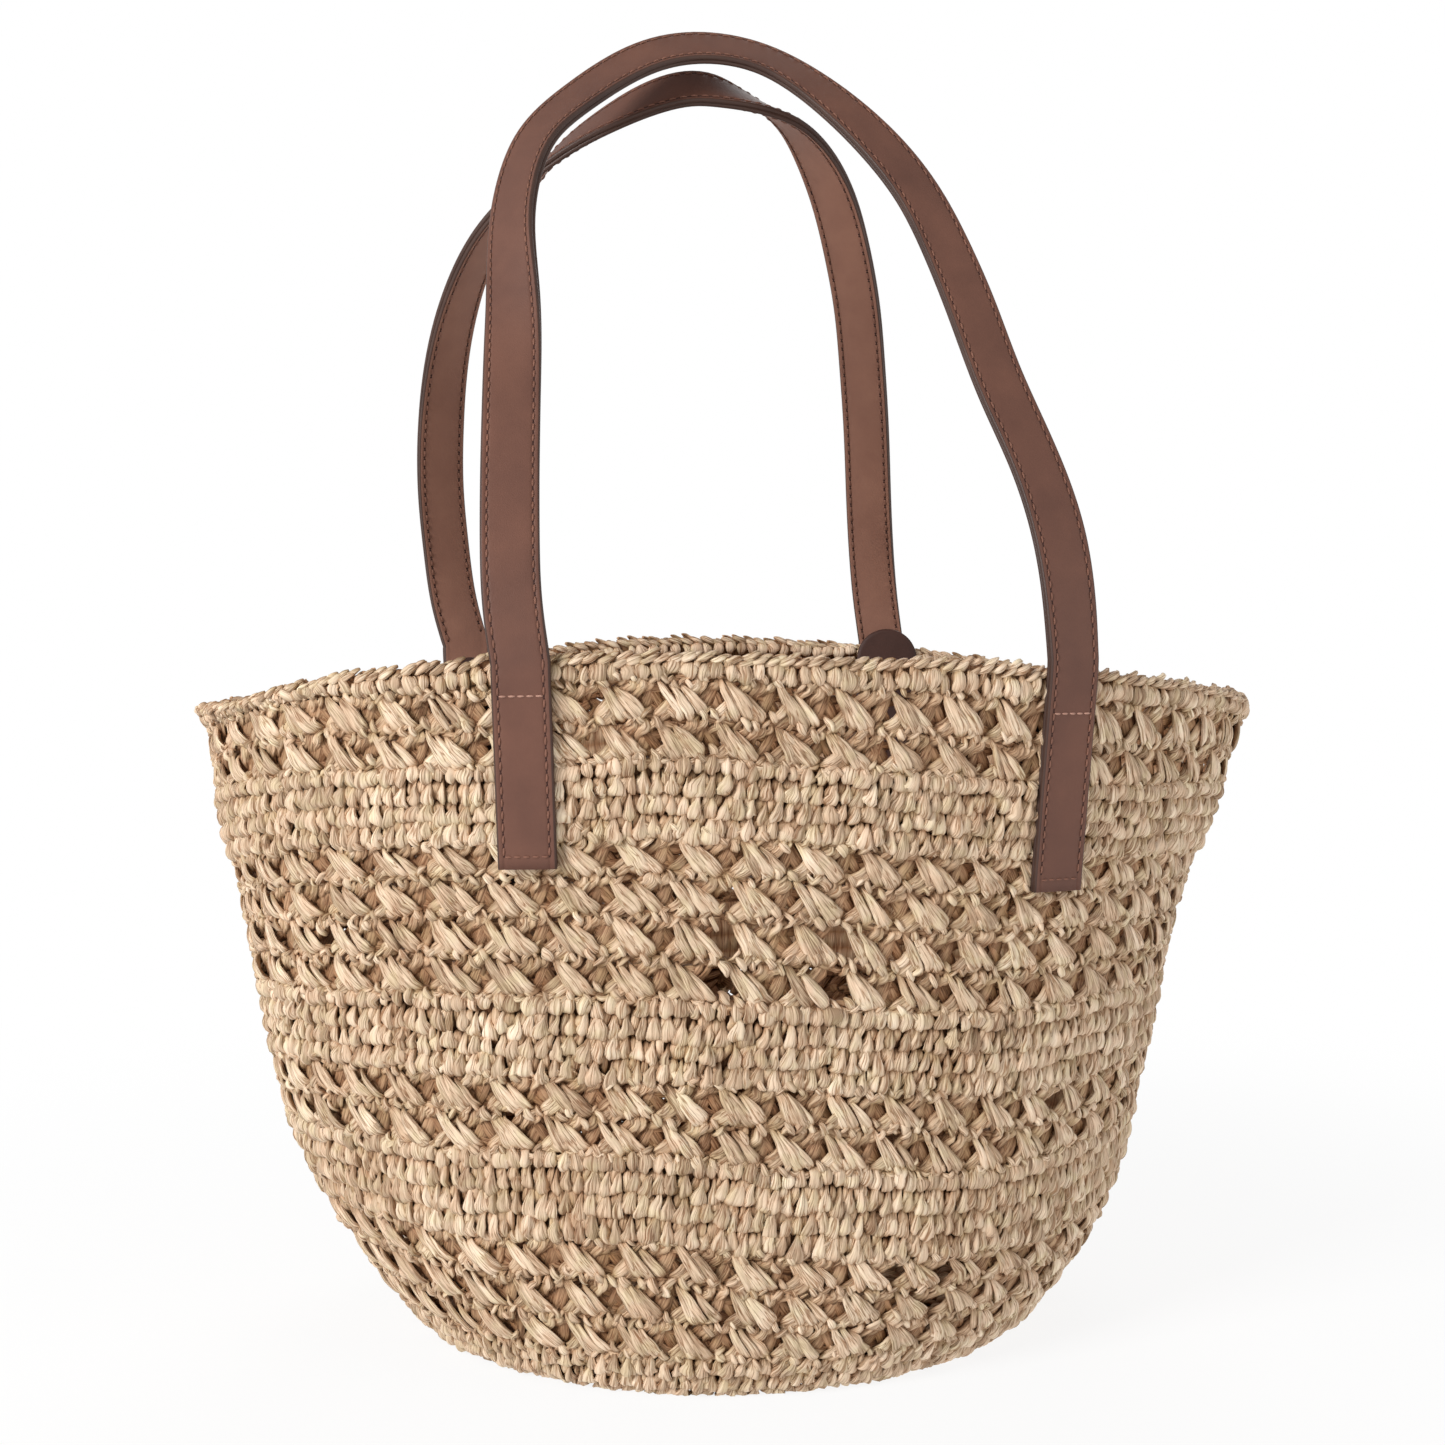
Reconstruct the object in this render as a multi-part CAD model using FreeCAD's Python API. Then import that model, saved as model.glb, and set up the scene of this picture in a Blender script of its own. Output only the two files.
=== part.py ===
"""Crocheted raffia tote with two leather shoulder handles.

Millimetres, +Z up. The origin is on the floor, under the middle of the base. The mouth is longest
along X, and the front wall faces -Y. Each handle is one two-layer strap in reality. It is divided
here at its bend line above the rim, so that its arch can swing while its ends stay sewn to the wall.
"""

import FreeCAD, Part
import math
import os

# Crochet rounds, from the floor up
BASE_EDGE_HEIGHT = 14.4
OPEN_ROW_HEIGHT = 13.6
KNOT_ROW_HEIGHT = 6.0
CLOSE_ROW_HEIGHT = 8.5
RIM_ROW_HEIGHT = 7.5
RIM_BRAID_HEIGHT = 5.0
OPEN_ROWS = (3, 2, 4, 2)
CLOSE_ROWS = 3
SOLID_BAND_NAMES = ("solid_band_lower", "solid_band_middle", "solid_band_upper")

# Outer form
BASE_WIDTH = 238.0
BASE_DEPTH = 238.0
MOUTH_WIDTH = 434.0
MOUTH_DEPTH = 266.0
SIDE_DROP = 24.0
WALL_THICKNESS = 7.0
FLOOR_THICKNESS = 6.0
# Share of the height, share of the flare in width, share of the flare in depth
FLARE = (
    (0.0, 0.0, 0.0),
    (0.011, 0.08, 0.25),
    (0.03, 0.14, 0.46),
    (0.06, 0.22, 0.66),
    (0.11, 0.33, 0.76),
    (0.185, 0.45, 0.74),
    (0.277, 0.53, 0.62),
    (0.387, 0.61, 0.52),
    (0.554, 0.70, 0.48),
    (0.738, 0.82, 0.68),
    (1.0, 1.0, 1.0),
)
ROUND_CORNER_POWER = 2.0
FLAT_FRONT_POWER = 2.3
SADDLE_START = 0.25
SADDLE_POWER = 1.5
POINTS_ROUND = 48

# Handles
FRONT_HANDLE_SPAN = 202.0
REAR_HANDLE_SPAN = 196.0
STRAP_WIDTH = 21.0
OUTER_LAYER = 2.2
LINING_LAYER = 1.8
STRAP_THICKNESS = OUTER_LAYER + LINING_LAYER
FRONT_ARCH_LENGTH_UP = 271.2
REAR_ARCH_LENGTH_UP = 258.5
HANDLE_APART = 8.0
BEND_LINE_ABOVE_RIM = 3.0
SEWN_LENGTH = 60.0
FREE_LENGTH_BELOW_RIM = 14.0
SEAT_GAP = 0.6
BEND_GAP = 0.4
GLUE_LINE = 0.2
FOOT_CONVERGENCE = 3.0
HINGE_OFFSET = 6.0
# Each row: share of the way up the arch, how far in from the bend line the left and the right leg lie,
# and how far the left and the right outer face have turned from square-on to the outside, in degrees.
# Left and right are as someone sees them who stands in front of that handle.
FRONT_ARCH = (
    (0.0, 0.0, 0.0, 0, 0),
    (0.08, -2.4, 0.9, 2, 2),
    (0.18, -2.6, 2.6, 5, 5),
    (0.30, -1.0, 8.4, 10, 13),
    (0.42, 1.4, 16.9, 13, 12),
    (0.55, 3.8, 23.3, 32, 11),
    (0.65, 5.0, 28.8, 48, 15),
    (0.75, 10.0, 36.8, 54, 21),
    (0.83, 19.5, 48.0, 55, 26),
    (0.90, 37.0, 62.2, 53, 34),
    (0.95, 53.5, 76.0, 51, 42),
    (0.985, 70.0, 91.0, 50, 48),
    (1.0, 86.6, 116.6, 50, 50),
)
REAR_ARCH = (
    (0.0, 0.0, 0.0, 0, 0),
    (0.08, 3.1, -5.0, 10, 3),
    (0.18, 7.0, -8.8, 23, 10),
    (0.30, 11.7, -12.1, 30, 15),
    (0.42, 16.8, -13.0, 34, 19),
    (0.55, 23.8, -11.2, 37, 32),
    (0.65, 30.2, -6.5, 40, 44),
    (0.75, 39.0, 3.0, 43, 59),
    (0.83, 47.9, 16.5, 51, 79),
    (0.90, 59.0, 33.0, 68, 102),
    (0.95, 71.5, 51.0, 91, 118),
    (0.985, 91.5, 68.3, 116, 130),
    (1.0, 113.3, 83.9, 135, 135),
)
LEAN_RUN = 70.0
STATIONS_PER_LEG = 20

# Seams and backing
THREAD_WIDTH = 0.7
THREAD_STAND = 0.35
EDGE_SEAM_INSET = 2.4
BOX_SEAM_END = 5.0
PATCH_WIDTH = 28.0
PATCH_THICKNESS = 2.0
PATCH_BELOW_STRAP = 6.0
PATCH_BELOW_RIM = 3.0
REAR_RIGHT_PATCH_RISE = 9.0
PATCH_SEAT_GAP = 1.5

SOLID_BAND_HEIGHT = KNOT_ROW_HEIGHT + CLOSE_ROWS * CLOSE_ROW_HEIGHT
BAG_HEIGHT = (
    BASE_EDGE_HEIGHT
    + sum(OPEN_ROWS) * OPEN_ROW_HEIGHT
    + len(SOLID_BAND_NAMES) * SOLID_BAND_HEIGHT
    + RIM_ROW_HEIGHT
    + RIM_BRAID_HEIGHT
)


def vector(x, y, z):
    return FreeCAD.Vector(x, y, z)


def along(table, t, column=1):
    """Smooth value of a table's column at t: a cubic between rows, with slopes from their neighbours."""
    last = len(table) - 1
    t = min(max(t, table[0][0]), table[last][0])
    i = max(k for k in range(last) if table[k][0] <= t)
    slopes = []
    for k in (i, i + 1):
        a, b = table[max(k - 1, 0)], table[min(k + 1, last)]
        slopes.append((b[column] - a[column]) / (b[0] - a[0]))
    step = table[i + 1][0] - table[i][0]
    u = (t - table[i][0]) / step
    start, end = table[i][column], table[i + 1][column]
    return (
        start * (1 + 2 * u) * (1 - u) ** 2
        + end * u * u * (3 - 2 * u)
        + step * u * (1 - u) * (slopes[0] * (1 - u) - slopes[1] * u)
    )


# ---- the crocheted body ----


def half_sizes(height):
    """Half width and half depth of the outer wall at a height."""
    share = height / BAG_HEIGHT
    half_width = BASE_WIDTH / 2 + (MOUTH_WIDTH - BASE_WIDTH) / 2 * along(FLARE, share, 1)
    half_depth = BASE_DEPTH / 2 + (MOUTH_DEPTH - BASE_DEPTH) / 2 * along(FLARE, share, 2)
    return half_width, half_depth


def side_drop(height):
    """How much lower a round lies at the two sides than at the front."""
    share = max(0.0, height / BAG_HEIGHT - SADDLE_START) / (1 - SADDLE_START)
    return SIDE_DROP * share**SADDLE_POWER


def corner_power(height):
    return ROUND_CORNER_POWER + (FLAT_FRONT_POWER - ROUND_CORNER_POWER) * height / BAG_HEIGHT


def wall_point(angle, height, inset=0.0):
    """Point of a round of the wall, at an angle from the front as seen from above."""
    half_width, half_depth = half_sizes(height)
    half_width -= inset
    half_depth -= inset
    power = corner_power(height)
    across = (abs(math.sin(angle)) / half_width) ** power
    forward = (abs(math.cos(angle)) / half_depth) ** power
    radius = (across + forward) ** (-1 / power)
    x = radius * math.sin(angle)
    y = -radius * math.cos(angle)
    return vector(x, y, height - side_drop(height) * (x / half_width) ** 2)


def round_edge(height, inset=0.0):
    """Closed smooth edge of the wall at one round."""
    angles = [2 * math.pi * k / POINTS_ROUND for k in range(POINTS_ROUND)]
    curve = Part.BSplineCurve()
    curve.interpolate(Points=[wall_point(a, height, inset) for a in angles], PeriodicFlag=True)
    return curve.toShape()


def closed_solid(faces):
    shell = Part.makeShell(faces)
    shell.sewShape()
    solid = Part.makeSolid(shell)
    if solid.Volume < 0:
        solid.reverse()
    return solid


def ruled_faces(edges):
    return [Part.makeRuledSurface(low, high) for low, high in zip(edges, edges[1:])]


def ring(heights):
    """One band of the wall, from its lowest round to its highest."""
    outer = [round_edge(h) for h in heights]
    inner = [round_edge(h, WALL_THICKNESS) for h in heights]
    rims = [Part.makeRuledSurface(outer[k], inner[k]) for k in (0, -1)]
    return closed_solid(ruled_faces(outer) + ruled_faces(inner) + rims)


def base():
    """Flat bottom with its rounded edge, closed by the floor's inner face."""
    edge_heights = [row[0] * BAG_HEIGHT for row in FLARE if row[0] * BAG_HEIGHT < BASE_EDGE_HEIGHT]
    outer = [round_edge(h) for h in edge_heights + [BASE_EDGE_HEIGHT]]
    inner = [round_edge(h, WALL_THICKNESS) for h in (FLOOR_THICKNESS, BASE_EDGE_HEIGHT)]
    under = Part.Face(Part.Wire([outer[0]]))
    floor = Part.Face(Part.Wire([inner[0]]))
    top = Part.makeRuledSurface(outer[-1], inner[-1])
    return closed_solid([under, floor, top] + ruled_faces(outer) + ruled_faces(inner))


def band_heights():
    """Each band's name with the heights of its rounds."""
    bands = []
    level = BASE_EDGE_HEIGHT
    for k, rows in enumerate(OPEN_ROWS):
        heights = [level + row * OPEN_ROW_HEIGHT for row in range(rows + 1)]
        bands.append(("openwork_band_%d" % (k + 1), heights))
        level = heights[-1]
        if k < len(SOLID_BAND_NAMES):
            heights = [level + row * CLOSE_ROW_HEIGHT for row in range(CLOSE_ROWS + 1)]
            heights.append(heights[-1] + KNOT_ROW_HEIGHT)
            bands.append((SOLID_BAND_NAMES[k], heights))
            level = heights[-1]
    bands.append(("rim_edging", [level, level + RIM_ROW_HEIGHT, BAG_HEIGHT]))
    return bands


# ---- where a strap sits on the wall ----


def angle_at(x, height, inset=0.0):
    """Angle from the front at which the wall of a round lies x from the middle."""
    low, high = 0.0, math.pi / 2
    for _ in range(50):
        middle = (low + high) / 2
        if wall_point(middle, height, inset).x < abs(x):
            low = middle
        else:
            high = middle
    return math.copysign(low, x)


def height_of_level(x, level, inset=0.0):
    """Round whose wall lies at a level above the floor, x from the middle."""
    low, high = 0.0, BAG_HEIGHT
    for _ in range(50):
        middle = (low + high) / 2
        if wall_point(angle_at(x, middle, inset), middle, inset).z < level:
            low = middle
        else:
            high = middle
    return low


def wall_normal(x, height):
    """Level outward normal of the front wall, x from the middle."""
    angle = angle_at(x, height)
    step = 0.02
    run = wall_point(angle + step, height) - wall_point(angle - step, height)
    return vector(run.y, -run.x, 0).normalize()


class Foot:
    """Seat of one strap end on the front wall. The rear ones are the same, turned half round."""

    def __init__(self, side, span):
        self.side = side
        self.x_top = side * span / 2
        self.rim = wall_point(angle_at(self.x_top, BAG_HEIGHT), BAG_HEIGHT)
        self.normal = wall_normal(self.x_top, BAG_HEIGHT)
        self.x_low = side * (span / 2 - FOOT_CONVERGENCE)
        self.level_end = self.rim.z - FREE_LENGTH_BELOW_RIM - SEWN_LENGTH
        self.low = self.on_wall(self.x_low, self.level_end)
        self.up = (self.rim - self.low).normalize()
        self.face = (self.normal - self.up * self.normal.dot(self.up)).normalize()
        self.across = self.up.cross(self.face) * -1
        self.slant_length = (self.rim - self.low).Length
        stand_off = SEAT_GAP + STRAP_THICKNESS / 2
        self.end = self.low + self.face * stand_off
        self.bend = self.rim + self.face * stand_off + vector(0, 0, BEND_LINE_ABOVE_RIM)

    def on_wall(self, x, level, inset=0.0):
        height = height_of_level(x, level, inset)
        return wall_point(angle_at(x, height, inset), height, inset)

    def stations(self):
        """Middle of the strap and its outer face's direction, from the square end up to the bend line."""
        sewn_top = self.end + self.up * (self.slant_length - FREE_LENGTH_BELOW_RIM)
        below_bend = self.bend - vector(0, 0, BEND_GAP)
        return [(self.end, self.face), (sewn_top, self.face), (below_bend, self.normal)]


# ---- straps ----


def arch_point(foot, share, length_up, table):
    """Point of the arch at a share of the way up, in the plane that leans in over the mouth."""
    lean_rise = LEAN_RUN / length_up
    inward = HANDLE_APART / 2 - abs(foot.bend.y)
    eased = share - lean_rise * (1 - math.exp(-share / lean_rise))
    eased /= 1 - lean_rise * (1 - math.exp(-1 / lean_rise))
    x = foot.bend.x - foot.side * along(table, share, 1 if foot.side < 0 else 2)
    rise = math.sqrt(length_up**2 - inward**2)
    return vector(x, foot.bend.y - inward * eased, foot.bend.z + rise * share)


def arch_stations(feet, length_up, table):
    """Middle, outer face's direction and run of the strap, from the left bend line over to the right."""
    shares = [row[0] for row in table]
    left = [arch_point(feet[0], share, length_up, table) for share in shares]
    right = [arch_point(feet[1], share, length_up, table) for share in reversed(shares[:-1])]
    curve = Part.BSplineCurve()
    curve.interpolate(Points=left + right)
    length = curve.length()
    top_at = curve.parameter(left[-1])
    rise = left[-1].z - left[0].z
    stations = []
    for k in range(2 * STATIONS_PER_LEG + 1):
        at = curve.parameterAtDistance(length * k / (2 * STATIONS_PER_LEG))
        middle = curve.value(at)
        tangent = vector(*curve.tangent(at)[0])
        if k in (0, 2 * STATIONS_PER_LEG):
            tangent = vector(0, 0, 1 if k == 0 else -1)
        share = min(1.0, max(0.0, (middle.z - left[0].z) / rise))
        outward = tangent.cross(vector(0, 1, 0)).normalize()
        square_on = tangent.cross(outward).normalize()
        foot = feet[0] if at < top_at else feet[1]
        foot_turn = math.acos(min(1.0, abs(foot.face.y)))
        turn = math.radians(along(table, share, 3 if at < top_at else 4))
        turn += foot_turn * max(0.0, 1 - share / 0.3) ** 2
        face = square_on * math.cos(turn) + outward * math.sin(turn)
        stations.append((middle, face.normalize(), tangent))
    return stations


def strip(stations, across_list, low, high, left, right):
    """Solid along the stations, between two depths in the strap and two places across it."""
    wires = []
    for (middle, face), across in zip(stations, across_list):
        corners = [
            middle + face * depth + across * place
            for depth, place in ((low, left), (low, right), (high, right), (high, left))
        ]
        wires.append(Part.makePolygon(corners + corners[:1]))
    return Part.makeLoft(wires, True, True)


def layers(stations, across_list):
    """Outer leather and lining of one length of strap."""
    half = STRAP_WIDTH / 2
    back = -STRAP_THICKNESS / 2
    glue = back + LINING_LAYER
    outer = strip(stations, across_list, glue + GLUE_LINE / 2, STRAP_THICKNESS / 2, -half, half)
    lining = strip(stations, across_list, back, glue - GLUE_LINE / 2, -half, half)
    return outer, lining


def edge_threads(stations, across_list):
    """Thread rows along both edges, on the outer face and on the lining."""
    rows = []
    front = STRAP_THICKNESS / 2 + GLUE_LINE
    for side in (-1, 1):
        middle = side * (STRAP_WIDTH / 2 - EDGE_SEAM_INSET)
        left, right = middle - THREAD_WIDTH / 2, middle + THREAD_WIDTH / 2
        rows.append(strip(stations, across_list, front, front + THREAD_STAND, left, right))
        rows.append(strip(stations, across_list, -front - THREAD_STAND, -front, left, right))
    return rows


def block(origin, across, up, face, left, right, bottom, top, low, high):
    """Straight-sided block in a local frame."""
    corners = [
        origin + across * place + up * level + face * low
        for place, level in ((left, bottom), (right, bottom), (right, top), (left, top))
    ]
    profile = Part.Face(Part.makePolygon(corners + corners[:1]))
    return profile.extrude(face * (high - low))


def seam_frame(origin, across, up, face, low):
    """Box seam: two sides, the end and the cross stitch, as four threads that meet at the corners."""
    side = STRAP_WIDTH / 2 - EDGE_SEAM_INSET
    half = THREAD_WIDTH / 2
    top = SEWN_LENGTH
    high = low + THREAD_STAND
    runs = (
        (-side - half, -side + half, BOX_SEAM_END, top),
        (side - half, side + half, BOX_SEAM_END, top),
        (-side + half, side - half, BOX_SEAM_END, BOX_SEAM_END + THREAD_WIDTH),
        (-side + half, side - half, top - THREAD_WIDTH, top),
    )
    return [block(origin, across, up, face, *run, low, high) for run in runs]


def patch(foot, rise):
    """Leather backing inside the wall, with round ends. Its top stands above the rim by the rise."""
    radius = PATCH_WIDTH / 2
    level_top = foot.rim.z - PATCH_BELOW_RIM - radius
    inner_top = foot.on_wall(foot.x_top, level_top, WALL_THICKNESS)
    lowest = foot.on_wall(foot.x_low, foot.level_end - PATCH_BELOW_STRAP, WALL_THICKNESS)
    up = (inner_top - lowest).normalize()
    face = (foot.normal - up * foot.normal.dot(up)).normalize()
    across = up.cross(face) * radius
    lowest = lowest - face * (PATCH_SEAT_GAP + PATCH_THICKNESS)
    highest = lowest + up * (foot.rim.z + rise - lowest.z)
    low_centre = lowest + up * radius
    high_centre = highest - up * radius
    outline = Part.Wire(
        [
            Part.Arc(low_centre + across, lowest, low_centre - across).toShape(),
            Part.makeLine(low_centre - across, high_centre - across),
            Part.Arc(high_centre - across, highest, high_centre + across).toShape(),
            Part.makeLine(high_centre + across, low_centre + across),
        ]
    )
    return Part.Face(outline).extrude(face * PATCH_THICKNESS)


# ---- everything together ----


def turned_to_rear(shape):
    turned = shape.copy()
    turned.rotate(vector(0, 0, 0), vector(0, 0, 1), 180)
    return turned


def write(name, shapes):
    shape = shapes[0] if len(shapes) == 1 else Part.makeCompound(shapes)
    shape.exportStep("parts/%s.step" % name)


def body_nodes():
    nodes = {"base": [base()]}
    for name, heights in band_heights():
        nodes[name] = [ring(heights)]
    return nodes


def foot_nodes(feet_of):
    """Strap ends, linings, seams and patches of the four feet. Left and right are as seen from the front."""
    nodes = {}
    seam_level = STRAP_THICKNESS / 2 + GLUE_LINE
    for place, feet in feet_of.items():
        for foot in feet:
            stations = foot.stations()
            outer, lining = layers(stations, [foot.across] * len(stations))
            frame = (foot.end, foot.across, foot.up, foot.face)
            seam = seam_frame(*frame, seam_level)
            right = (foot.side > 0) == (place == "front")
            name = "%s_%s" % (place, "right" if right else "left")
            rise = REAR_RIGHT_PATCH_RISE if name == "rear_right" else -PATCH_BELOW_RIM
            made = {
                "strap_end": [outer],
                "lining_end": [lining],
                "box_seam": seam,
                "backing_patch": [patch(foot, rise)],
            }
            for kind, shapes in made.items():
                if place == "rear":
                    shapes = [turned_to_rear(s) for s in shapes]
                nodes["%s_%s" % (name, kind)] = shapes
    return nodes


def handle_nodes(name, full):
    """The arch of one handle: leather, lining and edge threads."""
    stations = [(middle, face) for middle, face, _ in full]
    across_list = [tangent.cross(face).normalize() for _, face, tangent in full]
    outer, lining = layers(stations, across_list)
    shapes = {"strap": [outer], "lining": [lining], "edge_threads": edge_threads(stations, across_list)}
    if name == "rear":
        shapes = {kind: [turned_to_rear(s) for s in made] for kind, made in shapes.items()}
    return {"%s_handle_%s" % (name, kind): made for kind, made in shapes.items()}


def main():
    os.makedirs("parts", exist_ok=True)
    spans = {"front": FRONT_HANDLE_SPAN, "rear": REAR_HANDLE_SPAN}
    feet_of = {place: [Foot(-1, span), Foot(1, span)] for place, span in spans.items()}
    nodes = body_nodes()
    nodes.update(foot_nodes(feet_of))
    front = arch_stations(feet_of["front"], FRONT_ARCH_LENGTH_UP, FRONT_ARCH)
    rear = arch_stations(feet_of["rear"], REAR_ARCH_LENGTH_UP, REAR_ARCH)
    nodes.update(handle_nodes("front", front))
    nodes.update(handle_nodes("rear", rear))
    for name, shapes in nodes.items():
        write(name, shapes)
    for place, feet in feet_of.items():
        bend = feet[0].bend
        print("%s hinge axis: level %.2f, %.2f from the middle" % (place, bend.z, HINGE_OFFSET - bend.y))
    print("%d nodes" % len(nodes))


main()
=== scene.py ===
"""Looks of the crocheted raffia tote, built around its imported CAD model."""

import math

import bpy
import numpy as np
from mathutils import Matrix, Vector


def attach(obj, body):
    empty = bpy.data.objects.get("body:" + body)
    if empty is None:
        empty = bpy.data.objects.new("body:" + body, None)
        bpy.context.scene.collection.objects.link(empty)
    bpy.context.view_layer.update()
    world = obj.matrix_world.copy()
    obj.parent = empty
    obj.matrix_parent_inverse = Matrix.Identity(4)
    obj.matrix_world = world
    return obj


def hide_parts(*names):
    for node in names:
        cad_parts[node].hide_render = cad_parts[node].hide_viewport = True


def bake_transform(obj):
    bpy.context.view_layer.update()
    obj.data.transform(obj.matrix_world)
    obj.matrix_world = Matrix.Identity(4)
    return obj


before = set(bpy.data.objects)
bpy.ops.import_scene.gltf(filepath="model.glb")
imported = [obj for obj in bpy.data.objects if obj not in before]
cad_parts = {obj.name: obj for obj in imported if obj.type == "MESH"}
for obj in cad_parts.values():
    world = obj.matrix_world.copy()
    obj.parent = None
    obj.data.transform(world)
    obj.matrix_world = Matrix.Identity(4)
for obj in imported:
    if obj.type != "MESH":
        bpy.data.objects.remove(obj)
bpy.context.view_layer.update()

MM = 0.001
rng = np.random.default_rng(7)

# ---- sizes shared with the CAD part, in millimetres ----

BASE_EDGE = 14.4
OPEN_ROW = 13.6
KNOT_ROW = 6.0
CLOSE_ROW = 8.5
RIM_ROW = 7.5
RIM_BRAID = 5.0
BAG_HEIGHT = 271.0
BASE_WIDTH, BASE_DEPTH = 238.0, 238.0
MOUTH_WIDTH, MOUTH_DEPTH = 434.0, 266.0
SIDE_DROP, SADDLE_START, SADDLE_POWER = 24.0, 0.25, 1.5
ROUND_POWER, FLAT_POWER = 2.0, 2.3
WALL, FLOOR = 7.0, 6.0
# Share of the height, and how far the wall has opened there in width and in depth
FLARE = (
    (0, 0, 0), (0.011, 0.08, 0.25), (0.03, 0.14, 0.46), (0.06, 0.22, 0.66), (0.11, 0.33, 0.76),
    (0.185, 0.45, 0.74), (0.277, 0.53, 0.62), (0.387, 0.61, 0.52), (0.554, 0.7, 0.48), (0.738, 0.82, 0.68),
    (1, 1, 1),
)
FRONT_SPAN, REAR_SPAN = 202.0, 196.0
STRAP_WIDTH, STRAP_THICKNESS = 21.0, 4.0
FRONT_UP, REAR_UP = 271.2, 258.5
HANDLE_APART = 8.0
BEND_ABOVE, FREE_BELOW, SEWN = 3.0, 14.0, 60.0
SEAT_GAP = 0.6
CONVERGE = 3.0
# Share of the way up the arch, inset of the left and right leg, turn of the left and right outer face
FRONT_ARCH = (
    (0, 0, 0, 0, 0), (0.08, -2.4, 0.9, 2, 2), (0.18, -2.6, 2.6, 5, 5), (0.3, -1, 8.4, 10, 13),
    (0.42, 1.4, 16.9, 13, 12), (0.55, 3.8, 23.3, 32, 11), (0.65, 5, 28.8, 48, 15),
    (0.75, 10, 36.8, 54, 21), (0.83, 19.5, 48, 55, 26), (0.9, 37, 62.2, 53, 34), (0.95, 53.5, 76, 51, 42),
    (0.985, 70, 91, 50, 48), (1, 86.6, 116.6, 50, 50),
)
REAR_ARCH = (
    (0, 0, 0, 0, 0), (0.08, 3.1, -5, 10, 3), (0.18, 7, -8.8, 23, 10), (0.3, 11.7, -12.1, 30, 15),
    (0.42, 16.8, -13, 34, 19), (0.55, 23.8, -11.2, 37, 32), (0.65, 30.2, -6.5, 40, 44),
    (0.75, 39, 3, 43, 59), (0.83, 47.9, 16.5, 51, 79), (0.9, 59, 33, 68, 102), (0.95, 71.5, 51, 91, 118),
    (0.985, 91.5, 68.3, 116, 130), (1, 113.3, 83.9, 135, 135),
)
LEAN_RUN = 70.0
SEAM_INSET = 2.4
PATCH_WIDTH, PATCH_THICKNESS = 28.0, 2.0
PATCH_BELOW_STRAP, PATCH_BELOW_RIM, PATCH_RISE, PATCH_SEAT = 6.0, 3.0, 9.0, 1.5


def along(table, t, column=1):
    """Smooth value of a table's column at t: a cubic between rows, with slopes from their neighbours."""
    rows = np.array(table, float)
    x, y = rows[:, 0], rows[:, column]
    last = len(x) - 1
    t = np.clip(np.asarray(t, float), x[0], x[last])
    i = np.clip(np.searchsorted(x, t, side="right") - 1, 0, last - 1)
    before = np.maximum(np.arange(last + 1) - 1, 0)
    after = np.minimum(np.arange(last + 1) + 1, last)
    slope = (y[after] - y[before]) / (x[after] - x[before])
    step = x[i + 1] - x[i]
    u = (t - x[i]) / step
    ends = y[i] * (1 + 2 * u) * (1 - u) ** 2 + y[i + 1] * u * u * (3 - 2 * u)
    return ends + step * u * (1 - u) * (slope[i] * (1 - u) - slope[i + 1] * u)


def unit(v):
    return v / np.linalg.norm(v, axis=-1, keepdims=True)


def distances(points):
    """Distance along a row of points from its first."""
    return np.concatenate([[0], np.cumsum(np.linalg.norm(np.diff(points, axis=0), axis=1))])


# ---- the wall as a surface that strands are laid on ----


def half_sizes(h):
    share = h / BAG_HEIGHT
    half_width = BASE_WIDTH / 2 + (MOUTH_WIDTH - BASE_WIDTH) / 2 * along(FLARE, share, 1)
    half_depth = BASE_DEPTH / 2 + (MOUTH_DEPTH - BASE_DEPTH) / 2 * along(FLARE, share, 2)
    return half_width, half_depth


def side_drop(h):
    share = np.maximum(0.0, h / BAG_HEIGHT - SADDLE_START) / (1 - SADDLE_START)
    return SIDE_DROP * share**SADDLE_POWER


def wall_point(angle, h, inset=0.0):
    """Points of the wall's rounds, at angles from the front as seen from above."""
    half_width, half_depth = half_sizes(h)
    half_width = half_width - inset
    half_depth = half_depth - inset
    power = ROUND_POWER + (FLAT_POWER - ROUND_POWER) * h / BAG_HEIGHT
    across = (np.abs(np.sin(angle)) / half_width) ** power
    forward = (np.abs(np.cos(angle)) / half_depth) ** power
    radius = (across + forward) ** (-1 / power)
    x = radius * np.sin(angle)
    y = -radius * np.cos(angle)
    z = h - side_drop(h) * (x / half_width) ** 2
    return np.stack(np.broadcast_arrays(x, y, z), axis=-1)


UNDER_DEEP, UNDER_RUN = 101.0, 110.0
LEVEL_STEP = 1.0
COLUMNS = 1440


def wall_grid():
    """Points and outward normals on a grid of level by share of the way round. Levels under 0 run
    inward under the floor, to the middle."""
    levels = np.arange(-UNDER_DEEP, BAG_HEIGHT + 0.5 * LEVEL_STEP, LEVEL_STEP)
    fine = np.linspace(0, 2 * np.pi, 2161)
    shares = np.arange(COLUMNS) / COLUMNS
    points = np.empty((len(levels), COLUMNS, 3))
    for i, level in enumerate(levels):
        h = max(level, 0.0)
        run = distances(wall_point(fine, h))
        points[i] = wall_point(np.interp(shares * run[-1], run, fine), h)
        if level < 0:
            points[i, :, :2] *= 1 + level / UNDER_RUN
    ahead = np.roll(points, -1, axis=1)
    normals = unit(np.cross(ahead - np.roll(points, 1, axis=1), np.gradient(points, axis=0)))
    lengths = np.linalg.norm(ahead - points, axis=-1).sum(axis=1)
    return levels, points, normals, lengths


LEVELS, GRID, NORMALS, LENGTHS = wall_grid()


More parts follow.
